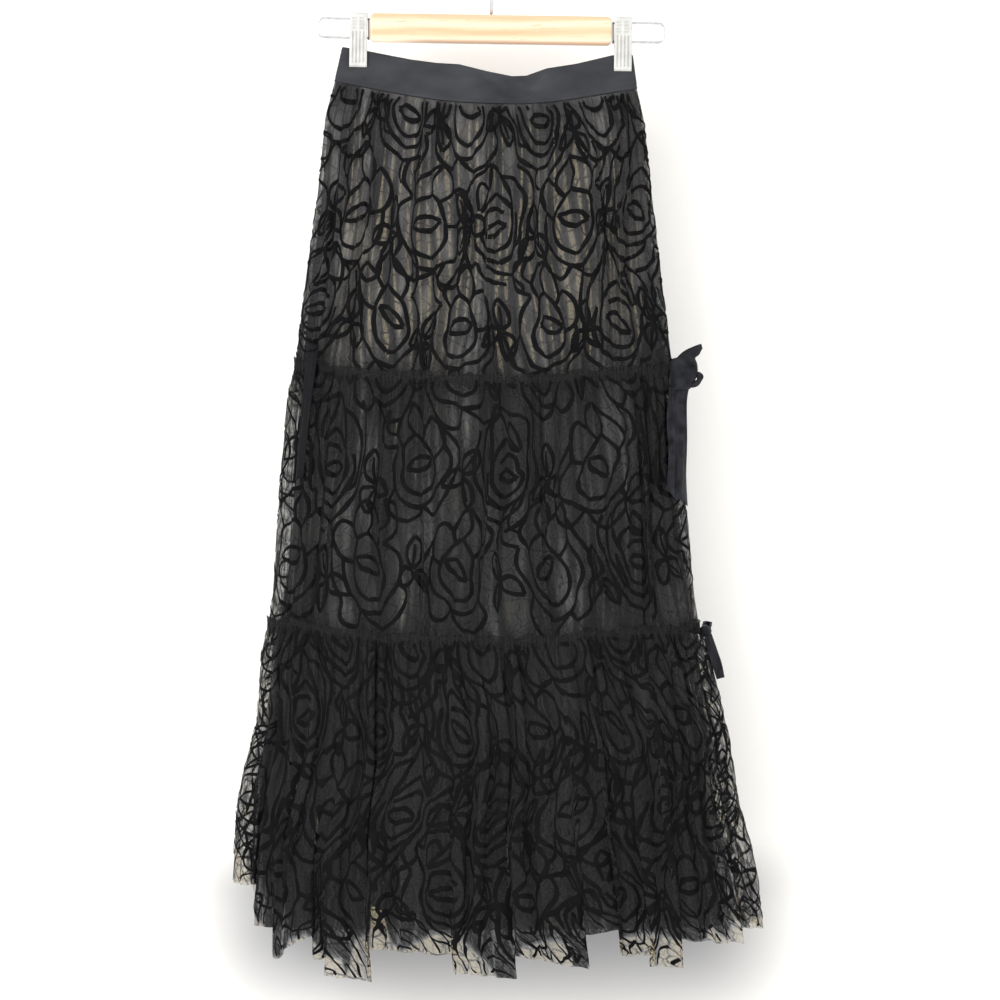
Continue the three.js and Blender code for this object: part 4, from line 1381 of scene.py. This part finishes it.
@dataclass
class SeamRuffle:
    """The raw gathered heading that stands along a tier seam."""

    name: str
    tier: Tier
    rise: float = 5.5
    fall: float = 9.0
    columns: int = 1500
    lines: int = 4

    def build(self, wardrobe: Wardrobe) -> None:
        """Makes a narrow strip that hugs the seam and frays into small waves at its two edges.

        The strip follows the tier's surface near its top edge. It stands out by 0.8 mm plus a
        quick wave that grows towards both of its edges.

        Args:
            wardrobe: the finishes.
        """
        around, across = np.meshgrid(np.linspace(0, 1, self.columns + 1), np.linspace(-1, 1, self.lines + 1))
        points = self.tier.surface(around, np.full_like(around, 0.004), 0.0)
        rng = np.random.default_rng(self.columns + self.lines)
        knots = np.linspace(0, 1, 141)
        swells = [np.interp(around, knots, np.append(row, row[0])) for row in rng.uniform(0, 1, (4, 140))]
        wave = np.sin(TURN * 118 * around + 5 * swells[0])
        out_x, out_y = self.tier.tube.outward(around, np.full_like(around, self.tier.start))
        stand = 1.1 + (1.0 + 2.2 * swells[1]) * (wave * 0.5 + 0.5) * np.abs(across) ** 1.5
        fall = self.fall * (0.45 + 1.1 * swells[2])
        rise = self.rise * (0.3 + 1.3 * swells[3])
        height = np.where(across > 0, -across * fall, -across * rise)
        points = points + np.stack([out_x * stand, out_y * stand, height], axis=-1)
        place = np.stack([around * self.tier.cut * METRE, across * 0.006], axis=-1).reshape(-1, 2)
        uv = place[Meshwork.faces(self.lines + 1, self.columns + 1)]
        faces = Meshwork.faces(self.lines + 1, self.columns, wrap=True)
        piece = Meshwork.piece(self.name, points[:, :-1], faces, wardrobe.tulle, "tulle", uv)
        layer = piece.data.attributes.new("crowding", "FLOAT", "POINT")
        crowd = 2.4 + 3.4 * (1 - np.abs(across)) + 1.6 * swells[0]
        layer.data.foreach_set("value", crowd[:, :-1].astype(np.float32).ravel())
        run = float(np.linalg.norm(np.diff(points[self.lines // 2], axis=0), axis=-1).sum()) * METRE
        flat = (run, (self.rise + self.fall) * METRE)
        log.info("%s: cut %.3f m round and %.4f m high", self.name, *flat)


@dataclass
class Lining:
    """The taupe satin lining: a flared tube with soft folds that turn inwards."""

    columns: int = 330
    lines: int = 56
    folds: int = 8
    shares: tuple[float, ...] = (0, 0.05, 0.14, 0.34, 0.62, 1)
    depths: tuple[float, ...] = (0, 0.5, 1.5, 4, 6, 8)

    def build(self, wardrobe: Wardrobe) -> None:
        """Makes the lining down to its hem.

        Broad folds go in by half a cosine of their place, as deep as the table says at each share
        of the drop, and a narrower ripple of 1.3 mm lies on them.

        Args:
            wardrobe: the finishes.
        """
        tube = ClothTube(LINING_LEVELS, FOLDED_HALF - LINING_INSET)
        around, share = np.meshgrid(np.linspace(0, 1, self.columns + 1), np.linspace(0, 1, self.lines + 1))
        level = WAIST_LEVEL + (LINING_HEM - WAIST_LEVEL) * share
        x, y = tube.section(around, level)
        out_x, out_y = tube.outward(around, level)
        over = over_panel(around)
        even = np.linspace(0, 1, 2001)
        uneven = even + 0.01 * np.sin(TURN * 2 * even) + 0.006 * np.sin(TURN * 3 * even)
        phase = np.interp(over, uneven, even) * self.folds
        size = 0.74 + 0.26 * np.sin(np.floor(phase) * 2.4 + 2)
        broad = (0.5 - 0.5 * np.cos(TURN * phase)) * size * np.interp(share, self.shares, self.depths)
        ripple = 1.3 * (0.5 + 0.5 * np.sin(TURN * 31 * over + 2.5 * np.sin(TURN * 3 * over) + 2 * share))
        inward = (broad + ripple * smooth_step(share, 0.01, 0.1)) * away_from_sides(over)
        top_x, _ = tube.section(around, np.full_like(around, WAIST_LEVEL))
        top = waist_edge(top_x, "bottom") - SEAM_GAP
        z = top + (LINING_HEM - top) * share
        points = np.stack([x - out_x * inward + SKIRT_SIDEWAYS, y - out_y * inward, z], axis=-1)
        faces = Meshwork.faces(self.lines + 1, self.columns, wrap=True)
        piece = Meshwork.piece("lining", points[:, :-1], faces, wardrobe.lining, "lining_satin")
        Meshwork.thicken(piece, 0.6)
        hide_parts("lining_front", "lining_back")


class Crease(NamedTuple):
    """A soft trough in the waistband: where it runs from and to, its width and its depth."""

    x: float
    share: float
    end_x: float
    end_share: float
    width: float
    depth: float


@dataclass
class Waistband:
    """The satin waistband, sagging between the clips and creased where it tips back."""

    columns: int = 460
    lines: int = 22
    front_creases: tuple[Crease, ...] = (
        Crease(-12, 0.02, 34, 0.9, 5.5, 1.5),
        Crease(6, 0.0, 46, 0.62, 4.5, 1.3),
        Crease(58, 0.05, 26, 0.8, 5.0, 1.2),
        Crease(-46, 0.1, -20, 0.75, 8.0, 0.7),
        Crease(92, 0.1, 70, 0.85, 8.0, 0.7),
        Crease(-112, 0.2, -92, 0.85, 9.0, 0.55),
        Crease(116, 0.85, 124, 0.35, 6.0, 0.5),
    )
    back_creases: tuple[Crease, ...] = (
        Crease(10, 0.05, -24, 0.85, 6.0, 1.2),
        Crease(64, 0.1, 40, 0.8, 7.0, 0.8),
        Crease(-90, 0.15, -70, 0.8, 8.0, 0.6),
    )

    @staticmethod
    def troughs(x: Array, share: Array, creases: Sequence[Crease]) -> Array:
        """Adds up the creases.

        Each is a bell across its line, as deep as the table says in its middle and fading out
        over its two ends. The band's height counts as 38 mm.

        Args:
            x: places across.
            share: places down the band, 0 to 1.
            creases: the table of creases.

        Returns:
            How far the cloth goes in, in millimetres.
        """
        total = np.zeros_like(x)
        for crease in creases:
            run = np.array([crease.end_x - crease.x, (crease.end_share - crease.share) * 38])
            length = float(np.hypot(*run))
            run /= length
            gap_x, gap_z = x - crease.x, (share - crease.share) * 38
            along = (gap_x * run[0] + gap_z * run[1]) / length
            beside = gap_x * run[1] - gap_z * run[0]
            fade = smooth_step(along, -0.25, 0.25) * (1 - smooth_step(along, 0.75, 1.25))
            total += crease.depth * fade * np.exp(-((beside / crease.width) ** 2))
        return total

    def build(self, wardrobe: Wardrobe) -> None:
        """Makes the band with rounded edges and a seam sunk just above its lower edge.

        Args:
            wardrobe: the finishes.
        """
        tube = ClothTube(BAND_LEVELS)
        around, share = np.meshgrid(np.linspace(0, 1, self.columns + 1), self._rows())
        inset = 0.9 * (1 - np.sqrt(np.clip(1 - (1 - np.minimum(share, 0.06) / 0.06) ** 2, 0, 1)))
        inset += 0.7 * (1 - np.sqrt(np.clip(1 - (np.maximum(share, 0.95) - 0.95) ** 2 / 0.05**2, 0, 1)))
        seam = 0.45 * np.exp(-(((share - 0.9) / 0.018) ** 2))
        x, y = tube.section(around, -share)
        out_x, out_y = tube.outward(around, -share)
        front = np.mod(around, 1.0) < 0.5
        dips = np.where(front, self.troughs(x, share, self.front_creases), self.troughs(x, share, self.back_creases))
        slack = 0.35 * np.sin(x / 17 + 3 * share) * away_from_sides(over_panel(around))
        inward = inset + seam + dips - slack
        top = np.where(front, waist_edge(x, "front_top"), waist_edge(x, "back_top"))
        z = top + (waist_edge(x, "bottom") - top) * share
        tip = (1 - share) * waist_edge(x, "tip")
        points = np.stack([x - out_x * inward + SKIRT_SIDEWAYS, y - out_y * inward + tip, z], axis=-1)
        faces = Meshwork.faces(len(share), self.columns, wrap=True)
        piece = Meshwork.piece("waistband", points[:, :-1], faces, wardrobe.band, "band_satin")
        Meshwork.thicken(piece, 2.2)
        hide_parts("waistband_front", "waistband_back")

    def _rows(self) -> Array:
        """Spaces the rows closer at the band's two edges and at its seam."""
        edge = np.array([0, 0.008, 0.02, 0.035, 0.06])
        return np.concatenate([edge, np.linspace(0.1, 0.86, self.lines - 9), [0.882, 0.9, 0.918, 0.95, 0.97, 0.988, 1.0]])


def smooth_line(corners: Array, per_span: int = 11) -> Array:
    """Runs a curve through corners.

    Each span is a cubic whose slope at a corner is half of the way between its neighbours.

    Args:
        corners: the corners, a row each.
        per_span: how many steps a span has.

    Returns:
        Points, a row each.
    """
    before = np.vstack([2 * corners[0] - corners[1], corners[:-1]])
    after = np.vstack([corners[1:], 2 * corners[-1] - corners[-2]])
    slope = (after - before) / 2
    share = np.linspace(0, 1, per_span + 1)[None, :-1, None]
    first, last = corners[:-1, None], corners[1:, None]
    leave, reach = slope[:-1, None], slope[1:, None]
    spans = (2 * share**3 - 3 * share**2 + 1) * first + (share**3 - 2 * share**2 + share) * leave
    spans = spans + (3 * share**2 - 2 * share**3) * last + (share**3 - share**2) * reach
    return np.vstack([spans.reshape(-1, corners.shape[1]), corners[-1:]])


# Edges of the bows and tails: pixel across, millimetres of depth, pixel down
LOBE_UPPER_EDGE = ((674.5, -6, 360), (683, -8, 351.8), (692.7, -9, 347), (700.8, -8, 344.2))
LOBE_LOWER_EDGE = ((694, -4, 365), (695, -6, 358), (698.4, -8, 355), (702, -8.5, 348.4))
BODY_LEFT_EDGE = ((671.5, -6, 359.5), (669.5, -12, 368), (669.5, -17, 379), (670.5, -20, 391))
BODY_RIGHT_EDGE = ((694.3, -3, 357.5), (697.2, -4, 366), (696.4, -5, 377), (689.6, -6, 389))
CURL_OUTER_EDGE = (
    (694, -2, 371), (700.4, -3, 372.8), (703.2, -4, 376.6), (701.4, -4, 381), (698.2, -5, 385.6),
    (693.4, -6, 387.6), (688.5, -6, 387.6),
)
CURL_INNER_EDGE = (
    (693, -1, 376), (695.8, -2, 376.8), (697, -3, 378.2), (696.6, -3, 379.8), (695, -4, 380.8),
    (692, -5, 381.6), (688, -5, 382),
)
OUTER_TAIL_EDGES = (
    ((675.6, -14, 384), (675, -18, 415), (674.6, -23, 450), (674, -27, 490), (674.4, -28, 497)),
    ((689.6, -5, 384), (686.6, -6, 402), (686.8, -8, 440), (685.8, -9, 475), (687, -9, 506)),
)
INNER_TAIL_EDGES = (
    ((668.5, -20, 386), (665.6, -27, 420), (667.4, -31, 455), (665, -35, 489)),
    ((676.6, -13, 386), (676, -17, 420), (675.4, -22, 460), (675, -26, 500)),
)
LEFT_TAIL_EDGES = (
    ((308, -20, 352), (305.6, -22.5, 380), (302, -25, 420), (297, -28, 481)),
    ((319.6, -27.5, 350), (315.4, -29.5, 380), (310.6, -32, 420), (305, -35, 476)),
)
LOW_TAIL_EDGES = (
    ((703.4, -9, 636), (706.6, -10, 650), (711, -11.5, 663), (716.2, -13, 678.8)),
    ((711.4, 0, 634), (716.8, -1, 649), (721.4, -3, 663), (724.2, -5, 677.2)),
)
LOW_LOOP_EDGES = (
    ((706, 3, 623), (703.2, 12, 622), (707, 25, 621.6), (712.4, 13, 622.4), (710, 3, 624)),
    ((705, 3, 635), (702.6, 12, 636), (706, 25, 635.6), (711.4, 13, 636), (709, 3, 635)),
)


def in_frame(corners: Sequence[Sequence[float]]) -> Array:
    """Runs a curve through corners given as pixel across, depth and pixel down."""
    line = smooth_line(np.array(corners, dtype=float))
    return np.stack([line[:, 0] - ORIGIN_PX[0], line[:, 1], ORIGIN_PX[1] - line[:, 2]], axis=1)


@dataclass
class Trims:
    """The bows at the right ends of the two seams and the tie at the left."""

    ribbon: float = 14.0

    def knot(self, name: str, center: Array, radii: Array, wardrobe: Wardrobe) -> None:
        """Makes a knot: a wrapped pad with a waist and lengthwise tucks.

        Its radius is one, less 0.07 for a tuck at every ninth of a turn and 0.1 round its waist.

        Args:
            name: the node that it replaces.
            center: its middle.
            radii: its half sizes.
            wardrobe: the finishes.
        """
        turn, rise = np.meshgrid(TURN * np.arange(48) / 48, np.linspace(0.02, math.pi - 0.02, 25))
        reach = 1 - 0.05 * np.abs(np.sin(4.5 * turn)) * np.sin(rise) - 0.06 * np.exp(-(((rise - 1.57) / 0.3) ** 2))
        across = np.sign(np.sin(rise)) * np.abs(np.sin(rise)) ** 0.8
        unit = np.stack([across * np.cos(turn), np.cos(rise), across * np.sin(turn)], axis=-1)
        points = center + unit * reach[..., None] * radii
        faces = Meshwork.faces(25, 48, wrap=True)[:, ::-1]
        place = np.stack([turn * 2, rise * 4], axis=-1).reshape(-1, 2) * METRE
        piece = Meshwork.piece(name + "_wrap", points, faces, wardrobe.ribbon, "ribbon", place[faces])
        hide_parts(name)

    def build(self, wardrobe: Wardrobe) -> None:
        """Makes all the bows and ties, each where its own solids are.

        Args:
            wardrobe: the finishes.
        """
        for name in ("side_bow_knot", "low_bow_knot", "left_tie_knot"):
            low, high = (np.array(corner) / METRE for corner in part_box(name))
            low[0] -= 2.4 if name == "low_bow_knot" else 0.0
            self.knot(name, (low + high) / 2, (high - low) / 2, wardrobe)
        self.between("left_tie_tail", *LEFT_TAIL_EDGES, 0.8, wardrobe)
        self.between("side_bow_inner_tail", *INNER_TAIL_EDGES, 1.2, wardrobe)
        self.between("side_bow_outer_tail", *OUTER_TAIL_EDGES, 1.6, wardrobe)
        self.between("side_bow_front_loop", LOBE_UPPER_EDGE, LOBE_LOWER_EDGE, 2.2, wardrobe)
        self.between("side_bow_back_loop", CURL_OUTER_EDGE, CURL_INNER_EDGE, 1.5, wardrobe)
        self.between("side_bow_knot", BODY_LEFT_EDGE, BODY_RIGHT_EDGE, 3.0, wardrobe)
        self.between("low_bow_loop", *LOW_LOOP_EDGES, 0.3, wardrobe)
        self.between("low_bow_tail", *LOW_TAIL_EDGES, 1.0, wardrobe)

    def between(
        self, name: str, first: Sequence[Sequence[float]], second: Sequence[Sequence[float]], bulge: float,
        wardrobe: Wardrobe,
    ) -> None:
        """Makes a stretch of ribbon between two edge lines, bulged and tucked at its near end.

        Args:
            name: the node that it replaces.
            first: one edge's corners.
            second: the other's.
            bulge: how far its middle stands out, in millimetres.
            wardrobe: the finishes.
        """
        edges = [in_frame(corners) for corners in (first, second)]
        side = np.linspace(0, 1, 13)[None, :, None]
        flat = edges[0][:, None] * (1 - side) + edges[1][:, None] * side
        run = np.gradient(flat, axis=0)
        across = np.gradient(flat, axis=1)
        out = np.cross(run, across)
        out /= np.linalg.norm(out, axis=-1, keepdims=True) + 1e-9
        out *= -np.sign(out[..., 1].sum())
        along = np.linspace(0, 1, len(flat))[:, None, None]
        tucks = 0.7 * np.sin(5 * math.pi * side + 1.5 * along) * (1 - along)
        tucks = tucks + 0.35 * np.sin(2 * math.pi * side + 7 * along) * np.sin(math.pi * side)
        points = flat + out * (bulge * np.sin(math.pi * side) + tucks)
        length = float(np.linalg.norm(np.diff(flat[:, 6], axis=0), axis=-1).sum())
        place = np.stack(np.broadcast_arrays(side[..., 0] * self.ribbon, along[..., 0] * length), -1)
        faces = Meshwork.faces(len(flat), 13)
        uv = place.reshape(-1, 2)[faces] * METRE
        piece = Meshwork.piece(name + "_ribbon", points, faces, wardrobe.ribbon, "ribbon", uv)
        Meshwork.thicken(piece, 0.7, 0.0)
        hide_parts(name)


@dataclass
class Hanger:
    """The wooden bar, the hook, the wire loops and the clips, tilted a little on the rail."""

    bar_length: float = 241.6
    bar_top: float = -81.2
    wire: float = 3.2
    ring: float = 18.0
    loop_wire: float = 2.6
    loop_top: float = -87.0
    loop_bottom: float = -106.0
    loop_reach: float = 174.0
    loop_corner: float = 5.0
    clip_middle: float = 132.2
    clip_width: float = 17.6
    clip_top: float = -81.2
    clip_bottom: float = -135.5

    @staticmethod
    def tilted(points: Array) -> Array:
        """Turns points about the hook's seat by the hanger's tilt."""
        turned = points.copy()
        turned[..., 0] = points[..., 0] * math.cos(HANGER_TILT) + points[..., 2] * math.sin(HANGER_TILT)
        turned[..., 2] = points[..., 2] * math.cos(HANGER_TILT) - points[..., 0] * math.sin(HANGER_TILT)
        return turned

    def hook(self, wardrobe: Wardrobe) -> None:
        """Makes the hook: a straight shank, a bend and most of a circle over the rail.

        Args:
            wardrobe: the finishes.
        """
        radius = self.ring + self.wire / 2
        angle = np.radians(np.linspace(-62, 195, 90))
        circle = np.stack([radius * np.cos(angle), 0 * angle, radius * np.sin(angle) - self.ring], axis=1)
        shank_end = np.array([0.0, 0.0, -62.0])
        foot = np.array([[0.0, 0.0, self.bar_top + SEAM_GAP + self.wire / 4]])
        share = np.linspace(0, 1, 24)[:, None]
        pull = circle[0] - np.array([-math.sin(angle[0]), 0, math.cos(angle[0])]) * 14
        bend = (1 - share) ** 3 * shank_end + 3 * (1 - share) ** 2 * share * (shank_end + [0, 0, 9])
        bend += 3 * (1 - share) * share**2 * pull + share**3 * circle[0]
        path = np.concatenate([foot, bend[:-1], circle[:-1]])
        points, faces = Meshwork.sweep(path, self.wire / 2, 16)
        piece = Meshwork.piece("hook_wire", self.tilted(points), faces, wardrobe.wire, "hook_wire")
        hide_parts("hanger_hook")

    def loop(self, name: str, direction: int, wardrobe: Wardrobe) -> None:
        """Makes the wire loop on one end of the bar.

        Args:
            name: the node that it replaces.
            direction: -1 at the left, 1 at the right.
            wardrobe: the finishes.
        """
        root = self.bar_length / 2 + SEAM_GAP + self.loop_wire / 4
        end = self.loop_reach - self.loop_wire / 2
        corner = self.loop_corner
        angle = np.linspace(0, math.pi / 2, 10)
        upper = np.stack([end - corner + corner * np.sin(angle), self.loop_top - corner + corner * np.cos(angle)], 1)
        lower = np.stack([end - corner + corner * np.cos(angle), self.loop_bottom + corner - corner * np.sin(angle)], 1)
        start = np.stack([np.linspace(root, end - corner, 8)[:-1], np.full(7, self.loop_top)], 1)
        back = np.stack([np.linspace(end - corner, root, 8)[1:], np.full(7, self.loop_bottom)], 1)
        flat = np.concatenate([start, upper, lower, back])
        path = np.stack([direction * flat[:, 0], np.zeros(len(flat)), flat[:, 1]], axis=1)
        points, faces = Meshwork.sweep(path, self.loop_wire / 2, 14)
        piece = Meshwork.piece(name + "_wire", self.tilted(points), faces, wardrobe.wire, "hook_wire")
        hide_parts(name)

    def jaw(self, name: str, center: float, sign: int, wardrobe: Wardrobe) -> None:
        """Makes one jaw: a moulded plate with upright grooves below and short notches above.

        Each level is a closed ring. Its outer side bulges by 0.7 mm, its corners are rounded, and
        grooves 1.3 mm wide and 1.5 mm deep are sunk in it. The inner side lies on the wires above
        and on the band below.

        Args:
            name: the node that it replaces.
            center: the clip's middle.
            sign: -1 for the front jaw, 1 for the back one.
            wardrobe: the finishes.
        """
        half = self.clip_width / 2
        height = self.clip_top - self.clip_bottom
        rows = np.concatenate([[0, 0.006, 0.018], np.linspace(0.03, 0.965, 96), [0.98, 0.992, 1.0]])
        corner = np.radians(np.linspace(0, 90, 5))
        inner_x = np.linspace(-half + 1, half - 1, 9)
        outer_x = np.linspace(half - 1.2, -half + 1.2, 74)
        right_x = half - 1.2 + 1.2 * np.sin(corner)
        ring_x = np.concatenate([inner_x, right_x[::-1], outer_x, -right_x])
        ring_side = np.concatenate([np.zeros(9), 1 - 0.16 * (1 - np.cos(corner))[::-1], np.ones(74), 1 - 0.16 * (1 - np.cos(corner))])
        x, share = np.meshgrid(ring_x, rows)
        side = np.broadcast_to(ring_side, x.shape)
        z = self.clip_top - height * share
        on_wire = self.loop_wire / 2 + SEAM_GAP
        on_band = FOLDED_HALF + 0.45
        inner = np.interp(-z, [81, 108, 113, 136], [on_wire, on_wire, on_band, on_band])
        outer = 6.0 + 0.9 * share + 0.5 * np.sqrt(np.clip(1 - (x / half) ** 2, 0, 1))
        grooves = np.zeros_like(x)
        for place in (-5.4, -1.8, 1.8, 5.4):
            grooves += np.exp(-(((x - place) / 0.75) ** 4)) * smooth_step(share, 0.33, 0.36) * (1 - smooth_step(share, 0.9, 0.94))
        for place in (0.1, 0.16, 0.22, 0.28):
            beside = np.exp(-(((np.abs(x) - 3.7) / 2.6) ** 6))
            grooves += beside * np.exp(-(((share - place) / 0.016) ** 4))
        lip = 1 - 0.35 * (1 - smooth_step(share, 0, 0.02)) - 0.3 * smooth_step(share, 0.975, 1)
        depth = inner + (outer * lip - inner) * side - np.where(side >= 1, 1.5 * grooves, 0)
        points = np.stack([center + x * (1 - 0.03 * (1 - lip)), sign * depth, z], axis=-1)
        count = len(ring_x)
        faces = Meshwork.faces(len(rows), count, wrap=True)
        cap_points, cap_faces = self._caps(points, count, len(rows))
        faces = np.concatenate([faces, cap_faces])
        if sign > 0:
            faces = faces[:, ::-1]
        everything = np.concatenate([points.reshape(-1, 3), cap_points])
        piece = Meshwork.piece(name + "_plate", self.tilted(everything), faces, wardrobe.clip, "clip_white")
        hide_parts(name)

    @staticmethod
    def _caps(points: Array, count: int, rows: int) -> tuple[Array, Array]:
        """Closes the first and last ring of a stack with a middle point each.

        Args:
            points: the stacked rings.
            count: how many points a ring has.
            rows: how many rings there are.

        Returns:
            The two middle points and the faces round them, two ring points and twice the middle.
        """
        middles = np.stack([points[0].mean(0), points[-1].mean(0)])
        here = np.arange(0, count, 2)
        after = (here + 1) % count
        beyond = (here + 2) % count
        top_middle, bottom_middle = rows * count, rows * count + 1
        top = np.stack([after, here, np.full_like(here, top_middle), beyond], axis=1)
        last = (rows - 1) * count
        bottom = np.stack([last + here, last + after, last + beyond, np.full_like(here, bottom_middle)], axis=1)
        return middles, np.concatenate([top, bottom])

    def spring(self, name: str, direction: int, wardrobe: Wardrobe) -> None:
        """Makes the steel strip beside a clip: bowed outwards, with both of its ends rolled.

        Args:
            name: the node that it replaces.
            direction: -1 at the left, 1 at the right.
            wardrobe: the finishes.
        """
        low, high = (np.array(corner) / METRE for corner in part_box(name))
        share = np.linspace(-1, 1, 49)
        ends = np.clip(np.abs(share) - 0.82, 0, None) / 0.18
        middle = (low + high) / 2
        bow = 0.9 * (1 - share**2) - 1.0 * ends
        path = np.stack([np.full_like(share, middle[0]), middle[1] - bow + 0.2, middle[2] - share * (high[2] - low[2]) / 2], 1)
        across = np.linspace(-1, 1, 5) * (high[0] - low[0]) / 2 * 0.6
        points = path[:, None, :] + np.array([1.0, 0, 0]) * across[None, :, None]
        faces = Meshwork.faces(len(path), 5)
        piece = Meshwork.piece(name + "_strip", points, faces, wardrobe.spring, "spring_steel")
        Meshwork.thicken(piece, 0.9, 0.0)
        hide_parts(name)

    def build(self, wardrobe: Wardrobe) -> None:
        """Makes the whole hanger; the wooden bar keeps its own solid and takes its finish.

        Args:
            wardrobe: the finishes.
        """
        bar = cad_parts["hanger_bar"]
        for slot in bar.material_slots:
            slot.material = wardrobe.wood
        self.hook(wardrobe)
        for label, direction in (("left", -1), ("right", 1)):
            self.loop(f"clip_loop_{label}", direction, wardrobe)
            self.jaw(f"clip_{label}_front_jaw", direction * self.clip_middle, -1, wardrobe)
            self.jaw(f"clip_{label}_back_jaw", direction * self.clip_middle, 1, wardrobe)
            self.spring(f"clip_{label}_spring", direction, wardrobe)


class Lamp(Enum):
    """The studio's soft lamps: where each stands, its size in metres and its power in watts."""

    KEY = ((-1.9, -2.6, 0.7), 1.6, 62.0)
    FILL = ((2.2, -2.4, -0.4), 2.0, 16.0)
    RIM = ((0.6, 2.4, 0.6), 1.8, 20.0)


@dataclass
class Studio:
    """The pale floor, the soft lamps and the camera at the photograph's angle."""

    distance: float = 4.5
    middle_px: tuple[float, float] = (500.0, 500.0)
    origin_px: tuple[float, float] = (492.5, -66.0)
    metre_px: float = 1000.0
    sensor: float = 36.0
    floor: float = -1.6
    wall: float = 0.098

    def camera(self) -> None:
        """Makes the camera: level, square on, at the scale of one millimetre a pixel."""
        data = bpy.data.cameras.new("camera")
        data.sensor_width = self.sensor
        data.lens = self.sensor * self.distance * self.metre_px / 1000.0
        data.clip_end = 60.0
        eye = bpy.data.objects.new("camera", data)
        x = (self.middle_px[0] - self.origin_px[0]) / self.metre_px
        z = -(self.middle_px[1] - self.origin_px[1]) / self.metre_px
        eye.location = (x, -self.distance, z)
        eye.rotation_euler = (math.pi / 2, 0, 0)
        bpy.context.scene.collection.objects.link(eye)
        bpy.context.scene.camera = eye

    def lamps(self) -> None:
        """Makes the soft lamps, turned to the skirt's middle, and a white surround."""
        target = Vector((0, 0, -0.6))
        for lamp in Lamp:
            place, size, power = lamp.value
            data = bpy.data.lights.new(lamp.name.lower(), "AREA")
            data.size = size
            data.energy = power
            made = bpy.data.objects.new(lamp.name.lower(), data)
            made.location = place
            made.rotation_euler = (target - Vector(place)).to_track_quat("-Z", "Y").to_euler()
            bpy.context.scene.collection.objects.link(made)
        world = bpy.data.worlds.new("surround")
        world.use_nodes = True
        world.node_tree.nodes["Background"].inputs["Color"].default_value = (1, 1, 1, 1)
        world.node_tree.nodes["Background"].inputs["Strength"].default_value = 1.0
        bpy.context.scene.world = world

    def ground(self) -> None:
        """Makes the floor below the hem and the wall close behind, which the back doesn't see."""
        half = 14.0
        square = np.array([[-half, -half, 0], [half, -half, 0], [half, half, 0], [-half, half, 0]])
        upright = np.array([[-half, 0, -half], [half, 0, -half], [half, 0, half], [-half, 0, half]])
        plain = StageFinish("pale_floor", (0.9, 0.9, 0.9), 0.25)
        warm = StageFinish("warm_white_wall", (0.93, 0.915, 0.88), 0.16, (0.32, 0.32, 0.325))
        for name, corners, finish in (
            ("floor", square + [0, 0, self.floor], plain), ("wall", upright + [0, self.wall, 0], warm),
        ):
            mesh = bpy.data.meshes.new(name)
            mesh.from_pydata(corners.tolist(), [], [(0, 1, 2, 3)])
            mesh.materials.append(finish.make())
            made = bpy.data.objects.new(name, mesh)
            bpy.context.scene.collection.objects.link(made)
            if name == "wall":
                made.visible_diffuse = False
                made.visible_glossy = False
                made.visible_shadow = False

    def build(self) -> None:
        """Sets the stage."""
        self.camera()
        self.lamps()
        self.ground()
        bpy.context.scene.view_settings.view_transform = "Standard"


def tiers() -> list[Tier]:
    """Lists the three tiers with their gathers, cut widths and flower rows.

    Returns:
        The tiers from the waist down.
    """
    tube = ClothTube(TULLE_LEVELS)
    upper = Gathers(24, 3, 7, (0, 0.06, 0.2, 0.5, 0.93, 1), (0.5, 3.2, 4.6, 5.4, 5, 1.2), 2.2, 286, 1.3)
    middle = Gathers(24, 4, 9, (0, 0.055, 0.4, 0.93, 1), (1, 5, 6.4, 6, 1.2), 2.4, 253, 1.7)
    lower = Gathers(26, 5, 8, (0, 0.05, 0.3, 0.65, 1), (1, 6, 8, 9, 9.5), 2.4, 310, 2.1)
    upper_full = ((0, 0.1, 0.5, 0.93, 1), (1.4, 1.05, 0.95, 1.2, 1.9))
    middle_full = ((0, 0.12, 0.5, 0.93, 1), (2.8, 2.3, 2.0, 2.4, 3.4))
    upper_sides = Sides(0.84, 0.8, (0, 1), (2.6, 3.6), (2.6, 4.0), 0.0)
    middle_sides = Sides(0.82, 0.8, (0, 0.12, 0.55, 1), (1.9, 1.7, 1.6, 1.5), (2.1, 2.2, 2.2, 1.6), 0.6)
    lower_sides = Sides(0.8, 0.7, (0, 0.12, 0.26, 1), (1.0, 0.9, 0.8, 0.7), (1.7, 1.5, 0.8, 0.5), 0.85)
    lower_full = ((0, 0.15, 0.6, 1), (4.3, 3.7, 4.0, 4.2))
    front_hem, back_hem = HemLine(FRONT_HEM, 6.0), HemLine(BACK_HEM, 0.0)
    return [
        Tier("upper_tier", tube, upper, WAIST_LEVEL, UPPER_SEAM, 10, (12, 126, 230), upper_full, 760, 84, upper_sides),
        Tier("middle_tier", tube, middle, UPPER_SEAM, LOWER_SEAM, 10, (-12, 92, 194), middle_full, 860, 78, middle_sides),
        Tier(
            "lower_tier", tube, lower, LOWER_SEAM, HEM_LEVEL, 13, (4, 88, 172, 254, 334), lower_full, 1000, 92,
            lower_sides, front_hem, back_hem,
        ),
    ]


def main() -> None:
    """Builds the object piece by piece."""
    logging.basicConfig(level=logging.INFO, format="%(name)s: %(message)s")
    rng = np.random.default_rng(7)
    Studio().build()
    wardrobe = Wardrobe()
    Waistband().build(wardrobe)
    Lining().build(wardrobe)
    made = tiers()
    for tier in made:
        tier.build(wardrobe, rng)
    SeamRuffle("upper_seam_ruffle", made[1]).build(wardrobe)
    SeamRuffle("lower_seam_ruffle", made[2]).build(wardrobe)
    Trims().build(wardrobe)
    Hanger().build(wardrobe)


if __name__ == "__main__":
    main()
